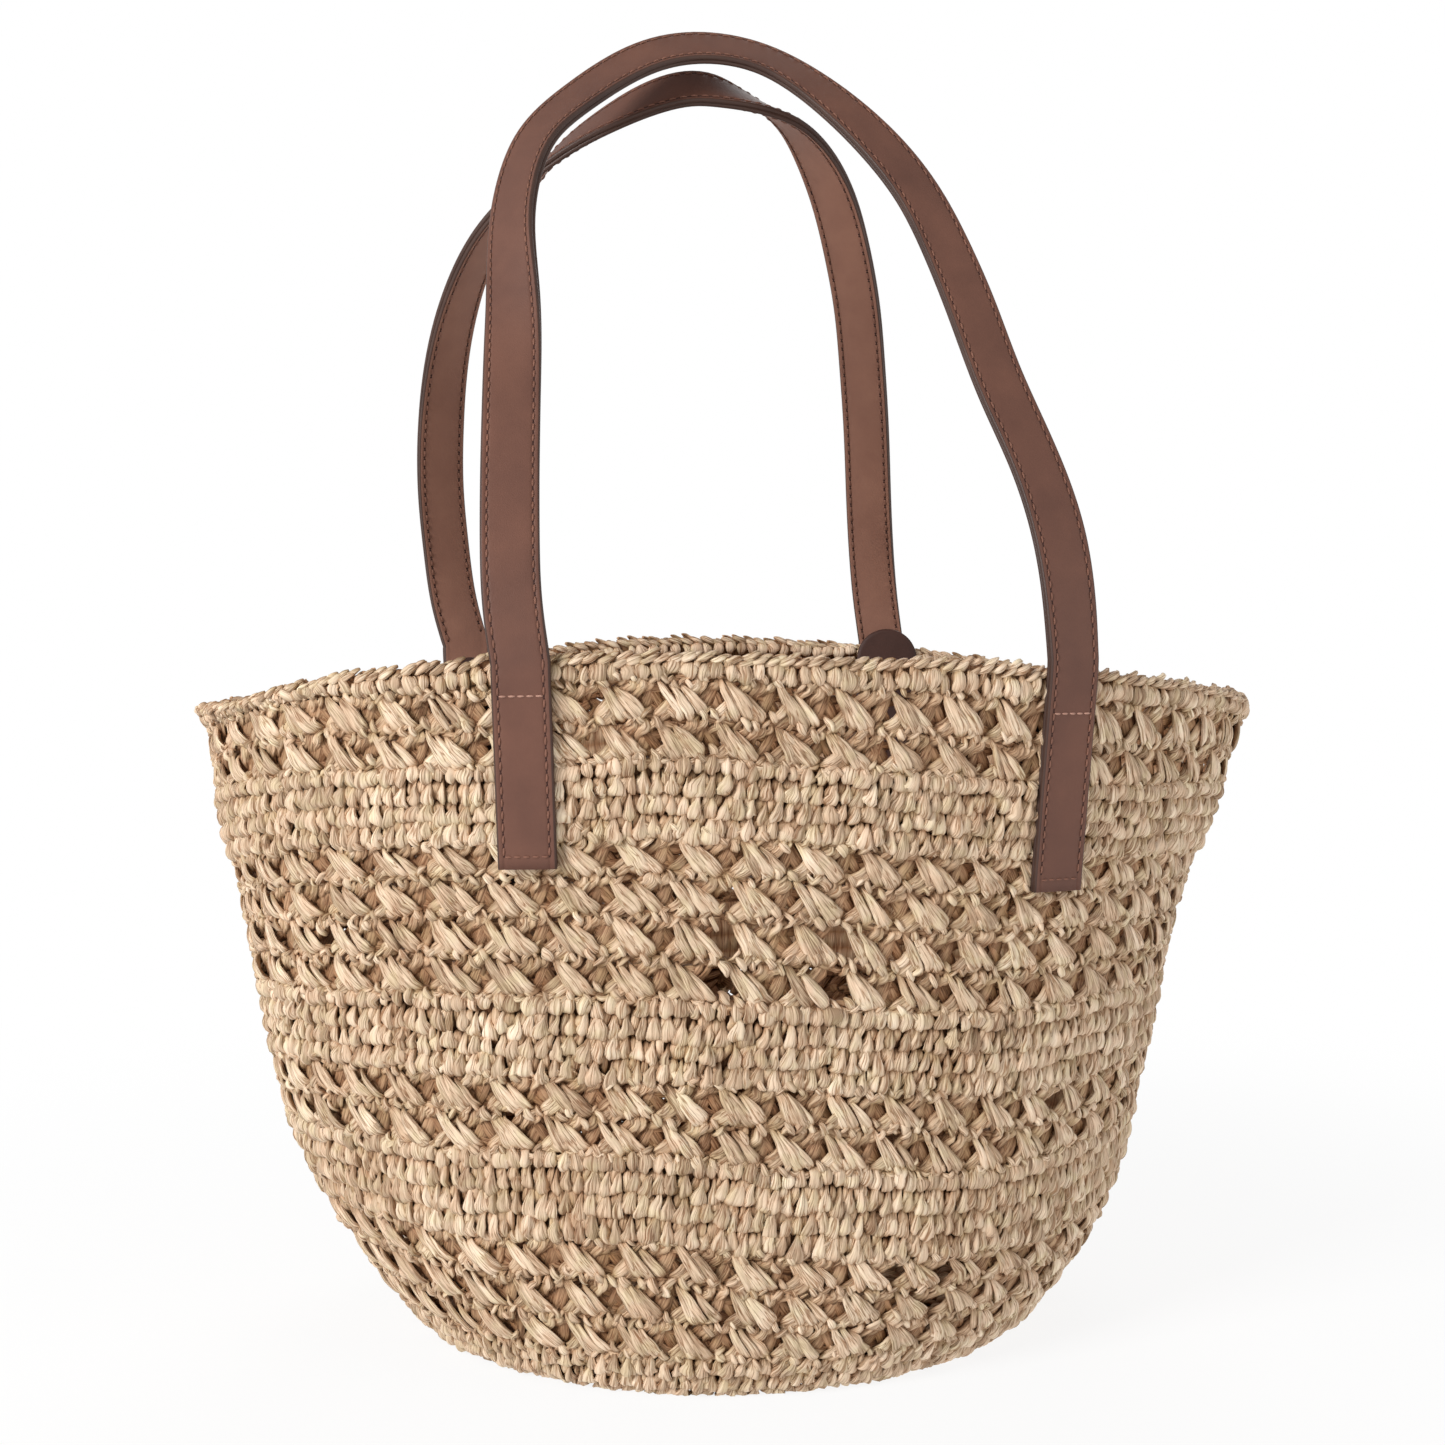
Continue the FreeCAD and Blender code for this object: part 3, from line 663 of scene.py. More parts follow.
class Nodes:
    """Short way to build a node tree."""

    def __init__(self, owner, output="ShaderNodeOutputMaterial"):
        owner.use_nodes = True
        self.tree = owner.node_tree
        self.tree.nodes.clear()
        self.output = self.add(output)

    def put(self, socket, value):
        """Gives a socket a constant, or links it to a socket of another node."""
        if isinstance(value, bpy.types.NodeSocket):
            self.tree.links.new(value, socket)
        elif isinstance(value, tuple) and socket.type == "RGBA":
            socket.default_value = (*value, 1.0)
        else:
            socket.default_value = value

    def add(self, kind, *inputs, **values):
        """New node with its first sockets, then settings and sockets by name, _ standing for a space."""
        node = self.tree.nodes.new(kind)
        for key, value in values.items():
            label = key.replace("_", " ")
            if label in node.inputs:
                self.put(node.inputs[label], value)
            else:
                setattr(node, key, value)
        for socket, value in zip(node.inputs, inputs):
            self.put(socket, value)
        return node

    def surface(self, shader):
        self.put(self.output.inputs["Surface"], shader.outputs[0])

    def ramp(self, source, stops):
        node = self.add("ShaderNodeValToRGB", source)
        elements = node.color_ramp.elements
        while len(elements) < len(stops):
            elements.new(0.5)
        for element, (place, color) in zip(elements, stops):
            element.position = place
            element.color = (*color, 1.0)
        return node.outputs["Color"]

    def noise(self, vector, scale, detail=3.0, roughness=0.55):
        node = self.add("ShaderNodeTexNoise", Vector=vector, Scale=scale, Detail=detail, Roughness=roughness)
        return node.outputs["Fac"]

    def math(self, operation, a, b=0.0):
        return self.add("ShaderNodeMath", a, b, operation=operation).outputs[0]

    def mix(self, factor, a, b, blend="MIX"):
        node = self.add("ShaderNodeMix", data_type="RGBA", blend_type=blend)
        for socket, value in ((0, factor), (6, a), (7, b)):
            self.put(node.inputs[socket], value)
        return node.outputs[2]

    def stretched_noise(self, vector, scale, detail):
        node = self.add("ShaderNodeMapping", Vector=vector, Scale=scale)
        return self.noise(node.outputs["Vector"], 1.0, detail)

    def ranged(self, value, low, high, to_low, to_high, interpolation="LINEAR"):
        node = self.add("ShaderNodeMapRange", value, low, high, to_low, to_high)
        node.interpolation_type = interpolation
        return node.outputs["Result"]

    def bump(self, height, strength, distance):
        node = self.add("ShaderNodeBump", Height=height, Strength=strength, Distance=distance)
        return node.outputs["Normal"]


WHITE = (1.0, 1.0, 1.0)


def srgb(r, g, b):
    """Linear colour of an 8-bit display colour."""
    return tuple(((c / 255 + 0.055) / 1.055) ** 2.4 if c > 10 else c / 255 / 12.92 for c in (r, g, b))


def raffia_material(name, light, middle, dark):
    material = bpy.data.materials.new(name)
    n = Nodes(material)
    uv = n.add("ShaderNodeUVMap", uv_map="Strand").outputs["UV"]
    place = n.add("ShaderNodeTexCoord").outputs["Object"]
    tone = n.add("ShaderNodeAttribute", attribute_name="tone").outputs["Fac"]
    depth = n.add("ShaderNodeAttribute", attribute_name="depth").outputs["Fac"]
    fibre = n.stretched_noise(uv, (2.2, 0.14, 1.0), 4.0)
    fine = n.stretched_noise(uv, (6.0, 0.3, 1.0), 2.0)
    strand = n.stretched_noise(uv, (0.9, 0.045, 1.0), 2.0)
    crease = n.math("ABSOLUTE", n.math("SUBTRACT", strand, 0.5))
    stripe = n.math("MULTIPLY", n.math("SUBTRACT", fibre, 0.5), 2.4)
    shade = n.math("ADD", n.math("MULTIPLY", tone, 0.62), 0.19)
    shade = n.math("ADD", shade, n.math("MULTIPLY", stripe, 0.55))
    color = n.ramp(shade, ((0.18, dark), (0.52, middle), (0.82, light)))
    color = n.mix(n.math("MULTIPLY", fine, 0.22), color, middle)
    # painted shade in the creases and, from the depth attribute, deep between the strands; the large darker
    # patches and the slight cast of hue are the raffia's own colour
    cast = ((0.32, srgb(251, 252, 240)), (0.5, srgb(253, 250, 246)), (0.68, srgb(255, 246, 240)))
    # painted shade: the deeper a point lies between the strands, the darker its colour
    deep = ((0.0, srgb(150, 116, 88)), (0.42, srgb(190, 160, 134)), (0.8, srgb(238, 228, 216)), (1.0, WHITE))
    for source, stops in (
        (crease, ((0.0, srgb(176, 150, 126)), (0.035, WHITE))),
        (n.noise(place, 24.0), ((0.35, srgb(240, 232, 222)), (0.65, srgb(255, 252, 246)))),
        (n.noise(place, 150.0, 1.0), cast),
        (n.ranged(depth, -4.4, 0.9, 0.0, 1.0), deep),
    ):
        color = n.mix(1.0, color, n.ramp(source, stops), "MULTIPLY")
    groove = n.math("MULTIPLY", n.math("MINIMUM", crease, 0.05), 16.0)
    relief = n.math("ADD", n.math("ADD", fibre, n.math("MULTIPLY", fine, 0.5)), groove)
    shader = n.add("ShaderNodeBsdfPrincipled", Base_Color=color, Roughness=0.62, Specular_IOR_Level=0.32)
    n.put(shader.inputs["Normal"], n.bump(relief, 0.7, 0.00028))
    n.surface(shader)
    return material


def leather_material(name, light, dark, roughness, grain):
    material = bpy.data.materials.new(name)
    n = Nodes(material)
    place = n.add("ShaderNodeTexCoord").outputs["Object"]
    blotch = n.noise(place, 38.0, 4.0, 0.6)
    speck = n.noise(place, 900.0, 2.0)
    color = n.mix(n.math("MULTIPLY", speck, 0.3), n.ramp(blotch, ((0.3, dark), (0.7, light))), dark)
    rough = n.ranged(blotch, 0.0, 1.0, roughness - 0.06, roughness + 0.08)
    pores = n.add("ShaderNodeTexVoronoi", feature="DISTANCE_TO_EDGE", Scale=1500.0, Vector=place)
    relief = n.math("ADD", pores.outputs["Distance"], n.math("MULTIPLY", speck, 0.6))
    shader = n.add("ShaderNodeBsdfPrincipled", Base_Color=color, Roughness=rough, Specular_IOR_Level=0.28)
    n.put(shader.inputs["Normal"], n.bump(relief, grain, 0.0002))
    n.surface(shader)
    return material


RAFFIA = raffia_material("raffia", srgb(252, 238, 221), srgb(223, 203, 181), srgb(160, 135, 111))
# Lighter copy of the raffia for the inner faces: painted light that brightens the inside of the bag where it
# lies in shade
RAFFIA_INSIDE_PAINTED_LIGHT = raffia_material(
    "raffia_inside_painted_light", srgb(250, 234, 216), srgb(230, 208, 186), srgb(180, 153, 130))
LEATHER = leather_material("strap_leather", srgb(112, 75, 61), srgb(95, 63, 52), 0.55, 0.35)
LEATHER_LINING = leather_material("lining_leather", srgb(152, 110, 92), srgb(134, 95, 80), 0.6, 0.35)
EDGE_PAINT = leather_material("edge_paint", srgb(80, 58, 49), srgb(62, 44, 38), 0.45, 0.15)
# Patch leather, darker than the strap leather: partly the patch's own dark finish, partly painted shade
PATCH_LEATHER_AND_SHADE = leather_material("patch_leather", srgb(74, 47, 39), srgb(54, 34, 29), 0.5, 0.35)
THREAD = leather_material("thread", srgb(136, 94, 77), srgb(112, 76, 62), 0.6, 0.6)
THREAD_LIGHT = leather_material("thread_light", srgb(184, 144, 128), srgb(156, 116, 100), 0.6, 0.6)
# Needle holes are flat dark discs: painted shade of the holes
HOLE = leather_material("needle_hole", srgb(62, 33, 26), srgb(48, 26, 21), 0.7, 0.1)

# ---- the crocheted bag ----


def ride_on_bag(heap, name, nodes=(), materials=(RAFFIA, RAFFIA_INSIDE_PAINTED_LIGHT)):
    piece = heap.piece(name, materials)
    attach(piece, "bag")
    if nodes:
        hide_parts(*nodes)


def crocheted(name, nodes, make, *values):
    """One piece made by a function that works a row."""
    heap = Heap()
    make(heap, *values)
    ride_on_bag(heap, name, nodes)


# Depth of the plain layer behind the stitches, and of the inner face between its bumps
LAYER, INNER_FACE = -3.6, -WALL + 0.9
BACKING_ROWS = 4


def backing(heap, low, high, count):
    """Closed ring behind the close stitches: plain outside, low bumps of the stitches' other side inside."""
    columns = count * 4
    s = np.arange(columns + 1) / columns
    t = np.linspace(low, high, BACKING_ROWS * 6 + 1)[:, None]
    around = np.sin(np.pi * count * s) ** 2
    up = np.sin(np.pi * (t - low) / ((high - low) / BACKING_ROWS)) ** 2
    relief = 1.1 * (0.25 + 0.75 * around) * up**0.5
    inner = wall(s, t, INNER_FACE - relief)[0]
    outer = wall(s, np.array([low, (low + high) / 2, high])[:, None], LAYER)[0]
    # The depth values paint shade: the plain layer is painted dark, the inner face darker between its bumps
    # than on them.
    heap.sheet(outer, 0.4, -3.8)
    heap.sheet(inner, 0.5 + 0.1 * np.sin(900 * s), -2.2 + relief * 2, 1, flip=True)
    heap.sheet(np.stack([outer[0], inner[0]]), 0.4, -3.8, flip=True)
    heap.sheet(np.stack([outer[-1], inner[-1]]), 0.4, -3.8)


OPEN_COUNTS = (44, 48, 48, 54)
CLOSE_COUNTS = (204, 204, 224)
OPEN_PHASE = (0.73, 0.39, 0.66, 0.35)
ROW_DRIFT = 0.065
OPEN_ROWS = (3, 2, 4, 2)
CLOSE_ROWS = 3
BANDS = ("lower", "middle", "upper")
# Band and round, with the repeats whose holes are open right through
CLEAR = {(2, 0): (-3, -1), (2, 1): (-3, -1)}


def build_wall():
    level = BASE_EDGE
    for band, rows in enumerate(OPEN_ROWS):
        count = OPEN_COUNTS[band]
        number = band + 1
        for row in range(rows):
            values = (level + row * OPEN_ROW, OPEN_ROW, count, OPEN_PHASE[band] + ROW_DRIFT * row)
            nodes = ["openwork_band_%d" % number] if row == 0 else []
            name = "openwork_%d_round_%d" % (number, row + 1)
            crocheted(name, nodes, open_row, *values, CLEAR.get((band, row), ()))
        for row in range(rows + 1):
            name = "openwork_%d_ridge_%d" % (number, row + 1)
            crocheted(name, [], ridge, level + row * OPEN_ROW, 4 * count, 0.3 * row)
        level += rows * OPEN_ROW
        if band < len(BANDS):
            count = CLOSE_COUNTS[band]
            name = "close_" + BANDS[band]
            for row in range(CLOSE_ROWS):
                nodes = ["solid_band_" + BANDS[band]] if row == 0 else []
                values = (level + row * CLOSE_ROW, CLOSE_ROW, count, 0.2 * row)
                crocheted("%s_round_%d" % (name, row + 1), nodes, close_row, *values)
            crocheted(name + "_knots", [], knot_row, level + CLOSE_ROWS * CLOSE_ROW, KNOT_ROW, count, 0.5)
            high = level + CLOSE_ROWS * CLOSE_ROW + KNOT_ROW
            crocheted(name + "_inside", [], backing, level, high, count)
            level = high
    return level


# One leg of the chain that lies on the rim. Across in links, up in centimetres.
RIM_LEG = (
    (-0.3, 0.02, -3, 0.5, 0.6), (-0.02, 0.08, -1.3, 1, 0.9), (0.36, 0.19, -0.5, 1.25, 1.1),
    (0.8, 0.31, -1.2, 1.1, 1), (1.08, 0.36, -2.6, 0.6, 0.7),
)
RIM_LINK_SHARE = 1.06
RIM_MIDDLE = -3.5
RIM_KNOT = 6.4
# Cord inside the rim: how far under the top of the bag, and depth
RIM_CORE = ((2.8, -2.6), (1.8, -3.6), (2.8, -4.6))


def rim_round(heap, level, count):
    lay(heap, stitches(count, level + 0.6, RIM_KNOT, KNOT, 0.2), 11, 12, 0.22)
    lay(heap, stitches(count, level, RIM_ROW, DROP_BEHIND, 0.2), 7, 7, 0.16, 0.4)
    inside = stitches(count, level + 0.6, RIM_KNOT, KNOT, 0.7)
    inside[..., 2] = -WALL - inside[..., 2]
    lay(heap, inside, 8, 8, 0.16, slot=1, inside=True)


def rim_braid(heap, links):
    """Three rows of legs over the edge: outside, inside and on the crown."""
    top = BAG_HEIGHT - RIM_BRAID - 0.3
    # bare lifts the painted shade: the legs are painted lighter than their depth gives, the crown the
    # lightest
    lay(heap, stitches(links, top, 10.0, RIM_LEG, 0.0, 0.7), 10, 10, 0.16, bare=1.0)
    inner = stitches(links, top, 10.0, RIM_LEG, 0.5, 0.7)
    inner[..., 2] = 2 * RIM_MIDDLE - inner[..., 2]
    lay(heap, inner, 10, 10, 0.16, inside=True, bare=1.0)
    crown = stitches(links, top + 1.2, 10.0, RIM_LEG, 0.4, 0.7)
    crown[..., 2] -= 1.6
    crown[..., 3] *= 0.9
    lay(heap, crown, 9, 9, 0.16, bare=2.8)


def rim_core(heap, level, columns):
    places = [(BAG_HEIGHT - under, d) for under, d in RIM_CORE]
    s = np.arange(columns + 1) / columns
    # the depth of -2.0 gives the cord painted shade
    heap.sheet(rings(s, [(level, -2.6)] + places + [(level, -4.6), (level, -2.6)]), 0.4, -2.0)


def build_rim(level):
    count = 4 * OPEN_COUNTS[3]
    crocheted("rim_round", ["rim_edging"], rim_round, level, count)
    crocheted("rim_braid", [], rim_braid, int(count * RIM_LINK_SHARE))
    crocheted("rim_core", [], rim_core, level, 2 * count)


def profile_levels(rows):
    """Levels that divide the rounded bottom edge into rounds of equal width."""
    t = np.linspace(0, BASE_EDGE, 200)
    run = distances(wall(0.12, t, 0.0)[0])
    return np.interp(np.linspace(0, run[-1], rows + 1), run, t)


EDGE_ROWS, UNDER_ROWS = 3, 13
UNDER_PITCH, INSIDE_PITCH = 5.4, 6.2


def under_rows(pitch):
    """Count, level, height and phase of the rounds that run to the middle of the base."""
    step = UNDER_DEEP / UNDER_ROWS
    for row in range(UNDER_ROWS):
        level = -(row + 1) * step
        yield max(10, int(round_length(level + step / 2) / pitch)), level, step, 0.3 * row


def base_under(heap):
    for count, level, step, phase in under_rows(UNDER_PITCH):
        for table, deeper, points, sections in ((DROP, 2.0, 8, 7), (DROP_BEHIND, 1.6, 6, 6)):
            drops = stitches(count, level, step, table, phase)
            drops[..., 2] -= deeper
            lay(heap, drops, points, sections, 0.08)


def base_inside(heap):
    for count, level, step, phase in under_rows(INSIDE_PITCH):
        drops = stitches(count, level, step, DROP, phase)
        drops[..., 2] = 1.0 - FLOOR - drops[..., 2]
        # bare paints the inside floor's rounds lighter by lifting their painted shade
        lay(heap, drops, 8, 7, 0.12, slot=1, inside=True, bare=1.0)


CORE_COLUMNS = 552
# Width of the small hole left in the middle of the floor sheets, as a share
PIN_HOLE, UNDER_PIN_HOLE = 0.0005, 0.002


def base_core(heap):
    """Floor's inner face, inside of the edge, and a plain layer behind the stitches."""
    s = np.arange(CORE_COLUMNS + 1) / CORE_COLUMNS
    inside = []
    rim = wall(s, 0.5, -1.0)[0]
    around = np.sin(2 * np.pi * s * 40) ** 2
    for q in np.linspace(PIN_HOLE, 1.0, 60):
        ring = rim * (q * 0.97)
        bumps = np.sin(np.pi * q * 14) ** 2 * (0.3 + 0.7 * around)
        ring[:, 2] = FLOOR - 2.0 + 0.4 * bumps
        inside.append(ring)
    for t in np.linspace(FLOOR + 1.5, BASE_EDGE, 6):
        ring = wall(s, t, -WALL + 0.6)[0]
        ring[:, 2] = np.maximum(ring[:, 2], FLOOR)
        inside.append(ring)
    # The depth values paint shade: the floor's inner face a little, the plain layer behind the stitches
    # dark.
    heap.sheet(np.stack(inside), 0.5, -2.2, 1)
    levels = np.concatenate([np.linspace(-UNDER_DEEP, 0, 30), np.linspace(1, BASE_EDGE, 10)])
    outside = rings(s, [(t, LAYER) for t in levels])
    outside = np.concatenate([outside[:1] * (UNDER_PIN_HOLE, UNDER_PIN_HOLE, 1.0), outside])
    heap.sheet(outside, 0.4, LAYER)
    heap.sheet(np.stack([outside[-1], inside[-1]]), 0.4, LAYER, flip=True)


def build_base():
    levels = profile_levels(EDGE_ROWS)
    for row in range(EDGE_ROWS):
        values = (levels[row], levels[row + 1] - levels[row], 4 * OPEN_COUNTS[0], 0.3 * row)
        crocheted("base_edge_round_%d" % (row + 1), ["base"] if row == 0 else [], close_row, *values)
    crocheted("base_under_rounds", [], base_under)
    crocheted("base_inside_rounds", [], base_inside)
    crocheted("base_core", [], base_core)


# ---- straps ----

# Turns a point of the front half to the rear half
TO_REAR = np.array([-1.0, -1.0, 1.0])


def halved(low, high, reached):
    """Place between low and high where reached turns true."""
    for _ in range(50):
        middle = (low + high) / 2
        low, high = (low, middle) if reached(middle) else (middle, high)
    return low


def angle_at(x, h, inset=0.0):
    angle = halved(0.0, math.pi / 2, lambda a: wall_point(a, h, inset)[0] >= abs(x))
    return math.copysign(angle, x)


def on_wall(x, level, inset=0.0):
    """Point of the front wall at a level above the floor, x from the middle."""
    h = halved(0.0, BAG_HEIGHT, lambda h: wall_point(angle_at(x, h, inset), h, inset)[2] >= level)
    return wall_point(angle_at(x, h, inset), h, inset)


class Foot:
    """Seat of one strap end on the front wall."""

    def __init__(self, side, span, end_rise=0.0):
        self.side = side
        self.x_top = side * span / 2
        angle = angle_at(self.x_top, BAG_HEIGHT)
        self.rim = wall_point(angle, BAG_HEIGHT)
        run = wall_point(angle + 0.02, BAG_HEIGHT) - wall_point(angle - 0.02, BAG_HEIGHT)
        self.normal = unit(np.array([run[1], -run[0], 0.0]))
        self.x_low = side * (span / 2 - CONVERGE)
        self.level_end = self.rim[2] - FREE_BELOW - SEWN
        self.low = on_wall(self.x_low, self.level_end + end_rise)
        self.up = unit(self.rim - self.low)
        self.face = unit(self.normal - self.up * self.normal.dot(self.up))
        self.slant = np.linalg.norm(self.rim - self.low)
        stand_off = SEAT_GAP + STRAP_THICKNESS / 2
        self.end = self.low + self.face * stand_off
        self.bend = self.rim + self.face * stand_off + np.array([0, 0, BEND_ABOVE])

    def stations(self):
        """Middles and outer face directions from the square end up to just under the bend line."""
        sewn_top = self.end + self.up * (self.slant - FREE_BELOW)
        places = [self.end + (sewn_top - self.end) * q for q in np.linspace(0, 1, 14)]
        faces = [self.face] * 14
        length = np.linalg.norm(self.bend - sewn_top)
        start, end = self.up * length, np.array([0, 0, length])
        for u in np.linspace(0, 1, 8)[1:-1]:
            q = u * u * (3 - 2 * u)
            place = sewn_top * (1 + 2 * u) * (1 - u) ** 2 + self.bend * q
            places.append(place + start * u * (1 - u) ** 2 - end * u * u * (1 - u))
            faces.append(unit(self.face * (1 - q) + self.normal * q))
        return places, faces


def spline(points):
    """Natural cubic curve through points: a function of the distance along, and each point's distance."""
    points = np.array(points)
    run = distances(points)
    n = len(points)
    step = np.diff(run)
    matrix = np.zeros((n, n))
    right = np.zeros((n, 3))
    matrix[0, 0] = matrix[-1, -1] = 1
    for i in range(1, n - 1):
        matrix[i, i - 1 : i + 2] = step[i - 1], 2 * (step[i - 1] + step[i]), step[i]
        slopes = (points[i + 1] - points[i]) / step[i] - (points[i] - points[i - 1]) / step[i - 1]
        right[i] = 6 * slopes
    bend = np.linalg.solve(matrix, right)

    def sample(t):
        i = np.clip(np.searchsorted(run, t, side="right") - 1, 0, n - 2)
        h = step[i][:, None]
        a = (run[i + 1] - t)[:, None] / h
        b = 1 - a
        curve = ((a**3 - a) * bend[i] + (b**3 - b) * bend[i + 1]) * h * h / 6
        return a * points[i] + b * points[i + 1] + curve

    return sample, run


ARCH_POINTS, FINE_POINTS = 201, 3000
# Share of the arch over which the foot's own turn dies out
FOOT_TURN_SHARE = 0.3


def arch(feet, length_up, table):
    """Middles and face directions of one handle's arch, from the left bend line to the right."""

    def place(foot, share):
        lean_rise = LEAN_RUN / length_up
        inward = HANDLE_APART / 2 - abs(foot.bend[1])
        eased = share - lean_rise * (1 - math.exp(-share / lean_rise))
        eased /= 1 - lean_rise * (1 - math.exp(-1 / lean_rise))
        x = foot.bend[0] - foot.side * along(table, share, 1 if foot.side < 0 else 2)
        rise = math.sqrt(length_up**2 - inward**2)
        return np.array([x, foot.bend[1] - inward * eased, foot.bend[2] + rise * share])

    shares = [row[0] for row in table]
    points = [place(feet[0], s) for s in shares] + [place(feet[1], s) for s in reversed(shares[:-1])]
    apex = len(shares) - 1
    sample, at_points = spline(points)
    fine_t = np.linspace(0, at_points[-1], FINE_POINTS)
    run = distances(sample(fine_t))
    t = np.interp(np.linspace(0, run[-1], ARCH_POINTS), run, fine_t)
    middles = sample(t)
    tangents = np.gradient(middles, axis=0)
    tangents[0], tangents[-1] = (0, 0, 1), (0, 0, -1)
    tangents = unit(tangents)
    share = np.clip((middles[:, 2] - points[0][2]) / (points[apex][2] - points[0][2]), 0, 1)
    outward = unit(np.cross(tangents, (0, 1, 0)))
    square_on = unit(np.cross(tangents, outward))
    foot_turn = math.acos(min(1.0, abs(feet[0].face[1])))
    turn = np.radians(np.where(t < at_points[apex], along(table, share, 3), along(table, share, 4)))
    turn += foot_turn * np.maximum(0, 1 - share / FOOT_TURN_SHARE) ** 2
    faces = square_on * np.cos(turn)[:, None] + outward * np.sin(turn)[:, None]
    return middles, faces


def strap_path(feet, length_up, table, rear):
    """Whole strap from one square end to the other: middles, faces, sides and distance along."""
    left, left_faces = feet[0].stations()
    right, right_faces = feet[1].stations()
    middles, faces = arch(feet, length_up, table)
    middles = np.concatenate([np.array(left), middles, np.array(right)[::-1]])
    faces = np.concatenate([np.array(left_faces), faces, np.array(right_faces)[::-1]])
    if rear:
        middles, faces = middles * TO_REAR, faces * TO_REAR
    for _ in range(3):
        faces[1:-1] = 0.25 * faces[:-2] + 0.5 * faces[1:-1] + 0.25 * faces[2:]
    tangents = unit(np.gradient(middles, axis=0))
    side = unit(np.cross(tangents, faces))
    return middles, np.cross(side, tangents), side, distances(middles)


def ribbon(heap, path, profile, slots):
    """A closed profile of (across, out) points swept along the strap, with closed ends."""
    middles, faces, side, run = path
    profile = np.array(profile, float)
    index = heap.add_points(
        middles[:, None] + side[:, None] * profile[None, :, :1] + faces[:, None] * profile[None, :, 1:],
        0.5, 0.0)
    uv = paired(distances(np.concatenate([profile, profile[:1]])), run[:, None])
    cells = heap.add_cells(1, index.size)
    heap.add_grid(closed(index)[None], uv, uv / uv[-1, -1] * (1, 0.95), cells, slots, STRAND_ORDER)
    flat = profile - profile.mean(axis=0)
    reach = np.abs(flat).max()
    for ring, order, place in ((index[0], 1, 0.2), (index[-1], -1, 0.7)):
        end_uv = flat[::order] / reach * (0.15, 0.02) + (place, 0.975)
        heap.add_faces(ring[None, ::order], flat[::order], end_uv, cells, 1)


# Places across the strap where its two faces have points, closer together under the seams
OUTER_PLACES = (
    -9.8, -9.2, -8.7, -8.4, -8.1, -7.8, -7.5, -6.8, -4.5, 0, 4.5, 6.8, 7.5, 7.8, 8.1, 8.4, 8.7, 9.2, 9.8,
)
INNER_PLACES = (-9.9, -9, -8.1, -7.3, 0, 7.3, 8.1, 9, 9.9)
HALF_STRAP, HALF_THICK, SEAM = STRAP_WIDTH / 2, STRAP_THICKNESS / 2, STRAP_WIDTH / 2 - SEAM_INSET


def channel(a, deep):
    """Depth of the shallow channel under each seam."""
    return deep * math.exp(-(((abs(a) - SEAM) / 0.45) ** 2))


def with_edges(face, right):
    """A flat face closed by painted round edges, and the material slot of each side of the profile."""
    profile = face + right + [(-a, f) for a, f in reversed(right)]
    return profile, [0] * (len(face) - 1) + [1] * (len(profile) - len(face) + 1)


def strap_profile():
    """Outer leather, face up."""
    top = []
    for a in OUTER_PLACES:
        crown = 0.12 * (1 - (a / HALF_STRAP) ** 2)
        top.append((a, HALF_THICK - 0.12 + crown - channel(a, 0.3)))
    right = [(HALF_STRAP - 0.28, HALF_THICK - 0.35), (HALF_STRAP, HALF_THICK - 0.95)]
    profile, slots = with_edges(top, right + [(HALF_STRAP - 0.03, 0.4), (HALF_STRAP - 0.25, -0.2)])
    return profile[::-1], np.roll(slots[::-1], -1)


def lining_profile():
    under = [(a, -HALF_THICK + 0.05 + channel(a, 0.2)) for a in INNER_PLACES]
    right = [(HALF_STRAP - 0.3, -HALF_THICK + 0.3), (HALF_STRAP - 0.05, -HALF_THICK + 0.8)]
    return with_edges(under, right + [(HALF_STRAP - 0.25, -0.2)])


def at_run(path, where):
    """Middles, faces, sides at distances along the strap."""
    found = []
    for values in path[:3]:
        found.append(np.stack([np.interp(where, path[3], values[:, c]) for c in range(3)], axis=-1))
    return found


# Shares along one stitch, its rounded height over the leather and its half width
STITCH = np.linspace(0, 1, 7)
STITCH_HUMP = 0.34 * np.sin(np.pi * STITCH) ** 0.6
STITCH_HALF = 0.55 + 0.45 * np.sin(np.pi * STITCH)
STITCH_LENGTH, STITCH_PITCH = 2.9, 4.4


def stitch_row(heap, path, across, starts, out):
    """Thread stitches at distances along the strap, each with a needle hole at its two ends: a flat dark
    disc, painted shade of the hole.
    """
    middles, faces, side = at_run(path, starts[:, None] + STITCH_LENGTH * STITCH)
    slant = 0.18 * (STITCH - 0.5)
    hump = out + STITCH_HUMP * np.sign(out)
    middles = middles + side * (across + slant)[:, None] + faces * hump[:, None]
    half = np.broadcast_to(0.42 * STITCH_HALF, middles.shape[:2])
    tone = rng.uniform(0.3, 0.7, len(starts))
    heap.tubes(middles, side, faces * np.sign(out), half, half * 0.8, tone, 0.0, 6, 0, 0.0)
    ends = np.sort(np.concatenate([starts - 0.15, starts + STITCH_LENGTH + 0.15]))
    q = np.linspace(-1, 1, 5)
    middles, faces, side = at_run(path, ends[:, None] + 0.6 * q)
    middles = middles + side * across + faces * out
    half = np.broadcast_to(0.1 + 0.42 * np.sqrt(np.maximum(0, 1 - q**2)), middles.shape[:2])
    heap.tubes(middles, side, faces * np.sign(out), half, np.full_like(half, 0.1), 0.5, 0.0, 8, 1, 0.0)


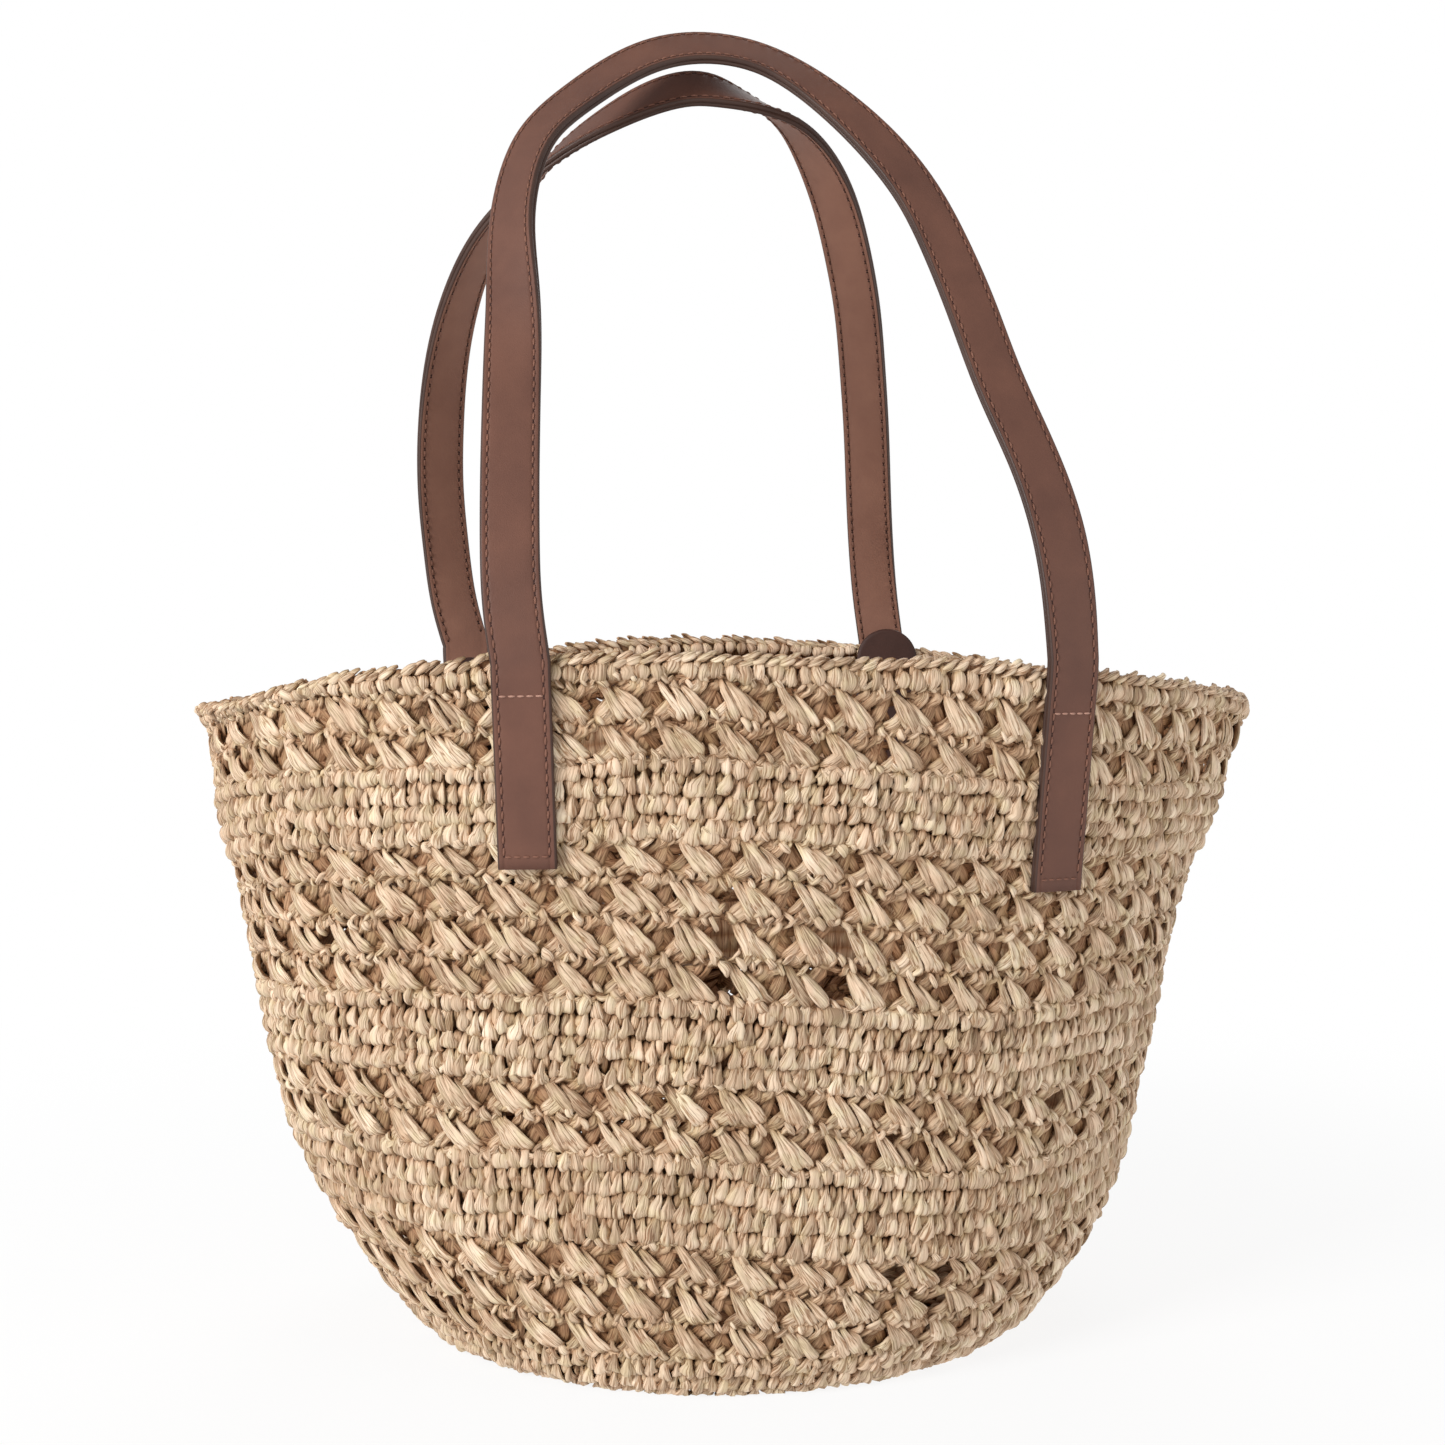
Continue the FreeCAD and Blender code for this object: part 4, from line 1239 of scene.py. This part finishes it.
def cross_row(heap, path, at, out, slot, count=5):
    """A row of stitches across the strap."""
    middle, face, side = at_run(path, at)
    shares = np.arange(count)[:, None] + 0.12 + 0.76 * STITCH
    a = -SEAM + 2 * SEAM / count * shares
    middles = middle + side * a[..., None] + face * (out + STITCH_HUMP)[:, None]
    faces = np.broadcast_to(face, middles.shape)
    across = np.cross(unit(np.gradient(middles, axis=1)), faces)
    half = np.broadcast_to(0.44 * STITCH_HALF, middles.shape[:2])
    heap.tubes(middles, across, faces, half, half * 0.8, 0.6, 0.0, 6, slot, 0.0)


def sew(heap, path, last_row):
    """Edge stitches outside all along and inside where the strap is free, and cross rows near both ends."""
    total = path[3][-1]
    outer = HALF_THICK - 0.3
    starts = np.arange(5.0, total - 5.0 - 3.4, STITCH_PITCH)
    free = starts[(starts > 76) & (starts < total - 80)]
    for places, out in ((starts, outer), (free, -HALF_THICK + 0.1)):
        for sign in (-1, 1):
            stitch_row(heap, path, sign * SEAM, places, out)
    for at, slot in ((62.0, 2), (total - last_row, 2), (4.6, 0), (total - 4.6, 0)):
        cross_row(heap, path, at, outer + 0.15, slot)


def build_handle(place, feet, length_up, table, last_row):
    rear = place == "rear"
    path = strap_path(feet, length_up, table, rear)
    handle = place + "_handle"
    outer, lining, threads = Heap(), Heap(), Heap()
    ribbon(outer, path, *strap_profile())
    ribbon(lining, path, *lining_profile())
    sew(threads, path, last_row)
    for heap, name, materials, own, at_ends, slot in (
        (outer, "outer_leather", (LEATHER, EDGE_PAINT), "strap", "strap_end", "strap_leather"),
        (lining, "lining_leather", (LEATHER_LINING, EDGE_PAINT), "lining", "lining_end", "lining_leather"),
        (threads, "stitches", (THREAD, HOLE, THREAD_LIGHT), "edge_threads", "box_seam", "thread"),
    ):
        piece = heap.piece("%s_%s" % (handle, name), materials)
        nodes = ["%s_%s" % (handle, own), "%s_left_%s" % (place, at_ends), "%s_right_%s" % (place, at_ends)]
        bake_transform(piece)
        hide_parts(*nodes)


# Rings of a backing patch from its lowest face out: how far in from the outline, and height
PATCH_RINGS = ((1.6, 0), (0.5, 0), (0, 0.6), (0, 1.4), (0.5, 2), (1.6, 2))


def build_patch(foot, name, rear):
    """Leather backing inside the wall behind a strap end: a long rounded plate with soft edges."""
    radius = PATCH_WIDTH / 2
    rise = PATCH_RISE if name == "rear_right" else -PATCH_BELOW_RIM
    inner_top = on_wall(foot.x_top, foot.rim[2] - PATCH_BELOW_RIM - radius, WALL)
    lowest = on_wall(foot.x_low, foot.level_end - PATCH_BELOW_STRAP, WALL)
    up = unit(inner_top - lowest)
    face = unit(foot.normal - up * foot.normal.dot(up))
    across = np.cross(up, face)
    lowest = lowest - face * (PATCH_SEAT + PATCH_THICKNESS)
    length = foot.rim[2] + rise - lowest[2]
    q = np.linspace(0, 2 * np.pi, 73)
    middle = np.where(np.sin(q) > 0, length - radius, radius)
    middle[-1] = middle[0]
    outline = paired(radius * np.cos(q), middle + radius * np.sin(q))
    centre = np.array([0, length / 2])
    inward = outline - centre
    reach = np.abs(inward[:-1]).max(axis=0)
    plate = []
    for shrink, out in PATCH_RINGS:
        flat = centre + inward * (1 - shrink / reach)
        plate.append(lowest + flat[:, :1] * across + flat[:, 1:] * up + face * out)
    plate = np.array(plate) * (TO_REAR if rear else 1.0)
    plate[:, -1] = plate[:, 0]
    heap = Heap()
    heap.sheet(plate, 0.5, 0.0)
    for ring, order in ((plate[0, :-1], -1), (plate[-1, :-1], 1)):
        index = heap.add_points(ring, 0.5, 0.0)
        flat = outline[:-1][::order]
        end_uv = flat / length * 0.9 + 0.05
        heap.add_faces(index[None, ::order], flat, end_uv, heap.add_cells(1, 1), 0)
    ride_on_bag(heap, name + "_patch", [name + "_backing_patch"], (PATCH_LEATHER_AND_SHADE,))


# ---- stage, light, camera ----


def build_stage():
    mesh = bpy.data.meshes.new("floor")
    n = 96
    q = np.arange(n) * 2 * np.pi / n
    points = [(0.0, 0.0, 0.0)]
    radii = (0.5, 1.5, 4.0, 12.0)
    for r in radii:
        points += [(r * math.cos(a), r * math.sin(a), 0.0) for a in q]
    faces = [(0, 1 + k, 1 + (k + 1) % n) for k in range(n)]
    for ring in range(len(radii) - 1):
        low, high = 1 + ring * n, 1 + (ring + 1) * n
        faces += [(low + k, high + k, high + (k + 1) % n, low + (k + 1) % n) for k in range(n)]
    mesh.from_pydata(points, [], faces)
    floor = bpy.data.objects.new("floor", mesh)
    bpy.context.scene.collection.objects.link(floor)
    material = bpy.data.materials.new("pale_floor")
    n = Nodes(material)
    matte = n.add("ShaderNodeBsdfDiffuse", Color=(0.93, 0.93, 0.93))
    glow = n.add("ShaderNodeEmission", Color=WHITE, Strength=1.0)
    place = n.add("ShaderNodeTexCoord").outputs["Object"]
    far = n.add("ShaderNodeVectorMath", place, operation="LENGTH").outputs["Value"]
    spread = n.ranged(far, 0.16, 0.75, 0.86, 1.0, "SMOOTHERSTEP")
    n.surface(n.add("ShaderNodeMixShader", spread, matte.outputs[0], glow.outputs[0]))
    mesh.materials.append(material)


def area_light(name, place, target, size, power):
    data = bpy.data.lights.new(name, "AREA")
    data.shape = "RECTANGLE"
    data.size = data.size_y = size
    data.energy = power
    light = bpy.data.objects.new(name, data)
    light.location = place
    light.rotation_euler = (Vector(target) - Vector(place)).to_track_quat("-Z", "Y").to_euler()
    bpy.context.scene.collection.objects.link(light)


SIDE_LIGHT, TOP_LIGHT = 0.74, 0.3


def build_light():
    """White surroundings for the camera; the bag gets them dimmer from above than from the sides."""
    world = bpy.data.worlds.new("studio")
    n = Nodes(world, "ShaderNodeOutputWorld")
    seen = n.add("ShaderNodeBackground", Color=WHITE, Strength=1.0)
    parts = n.add("ShaderNodeSeparateXYZ", n.add("ShaderNodeTexCoord").outputs["Generated"])
    strength = n.ranged(parts.outputs["Z"], 0.25, 0.95, SIDE_LIGHT, TOP_LIGHT)
    dim = n.add("ShaderNodeBackground", Color=WHITE, Strength=strength)
    to_camera = n.add("ShaderNodeLightPath").outputs["Is Camera Ray"]
    n.surface(n.add("ShaderNodeMixShader", to_camera, dim.outputs[0], seen.outputs[0]))
    bpy.context.scene.world = world
    area_light("key", (-1.85, -1.15, 1.2), (0, 0, 0.2), 0.9, 44.0)
    area_light("fill", (1.6, -1.2, 0.9), (0, 0, 0.2), 1.2, 5.0)
    area_light("rear", (0.6, 1.6, 1.4), (0, 0, 0.3), 1.2, 12.0)
    bpy.context.scene.view_settings.view_transform = "Standard"


CAMERA_TURN = math.radians(11.6)
CAMERA_TILT = math.radians(3.61)
SENSOR = 36.0
FOCAL = 2241.0 / 1445.0 * SENSOR


def build_camera():
    data = bpy.data.cameras.new("camera")
    data.lens = FOCAL
    data.sensor_width = SENSOR
    data.clip_start, data.clip_end = 0.05, 50.0
    camera = bpy.data.objects.new("camera", data)
    camera.location = (-0.1897, -0.9043, 0.297)
    level = math.cos(CAMERA_TILT)
    forward = (math.sin(CAMERA_TURN) * level, math.cos(CAMERA_TURN) * level, -math.sin(CAMERA_TILT))
    camera.rotation_euler = Vector(forward).to_track_quat("-Z", "Y").to_euler()
    bpy.context.scene.collection.objects.link(camera)
    bpy.context.scene.camera = camera


build_camera()
build_stage()
build_light()
rim_level = build_wall()
build_rim(rim_level)
build_base()
FRONT_FEET = (Foot(-1, FRONT_SPAN, 4.0), Foot(1, FRONT_SPAN, -9.5))
REAR_FEET = (Foot(-1, REAR_SPAN), Foot(1, REAR_SPAN))
build_handle("front", FRONT_FEET, FRONT_UP, FRONT_ARCH, 67.0)
build_handle("rear", REAR_FEET, REAR_UP, REAR_ARCH, 62.0)
# The rear half is the front half turned round, so its left foot ends up on the right
build_patch(FRONT_FEET[0], "front_left", False)
build_patch(FRONT_FEET[1], "front_right", False)
build_patch(REAR_FEET[0], "rear_right", True)
build_patch(REAR_FEET[1], "rear_left", True)

bpy.context.view_layer.update()
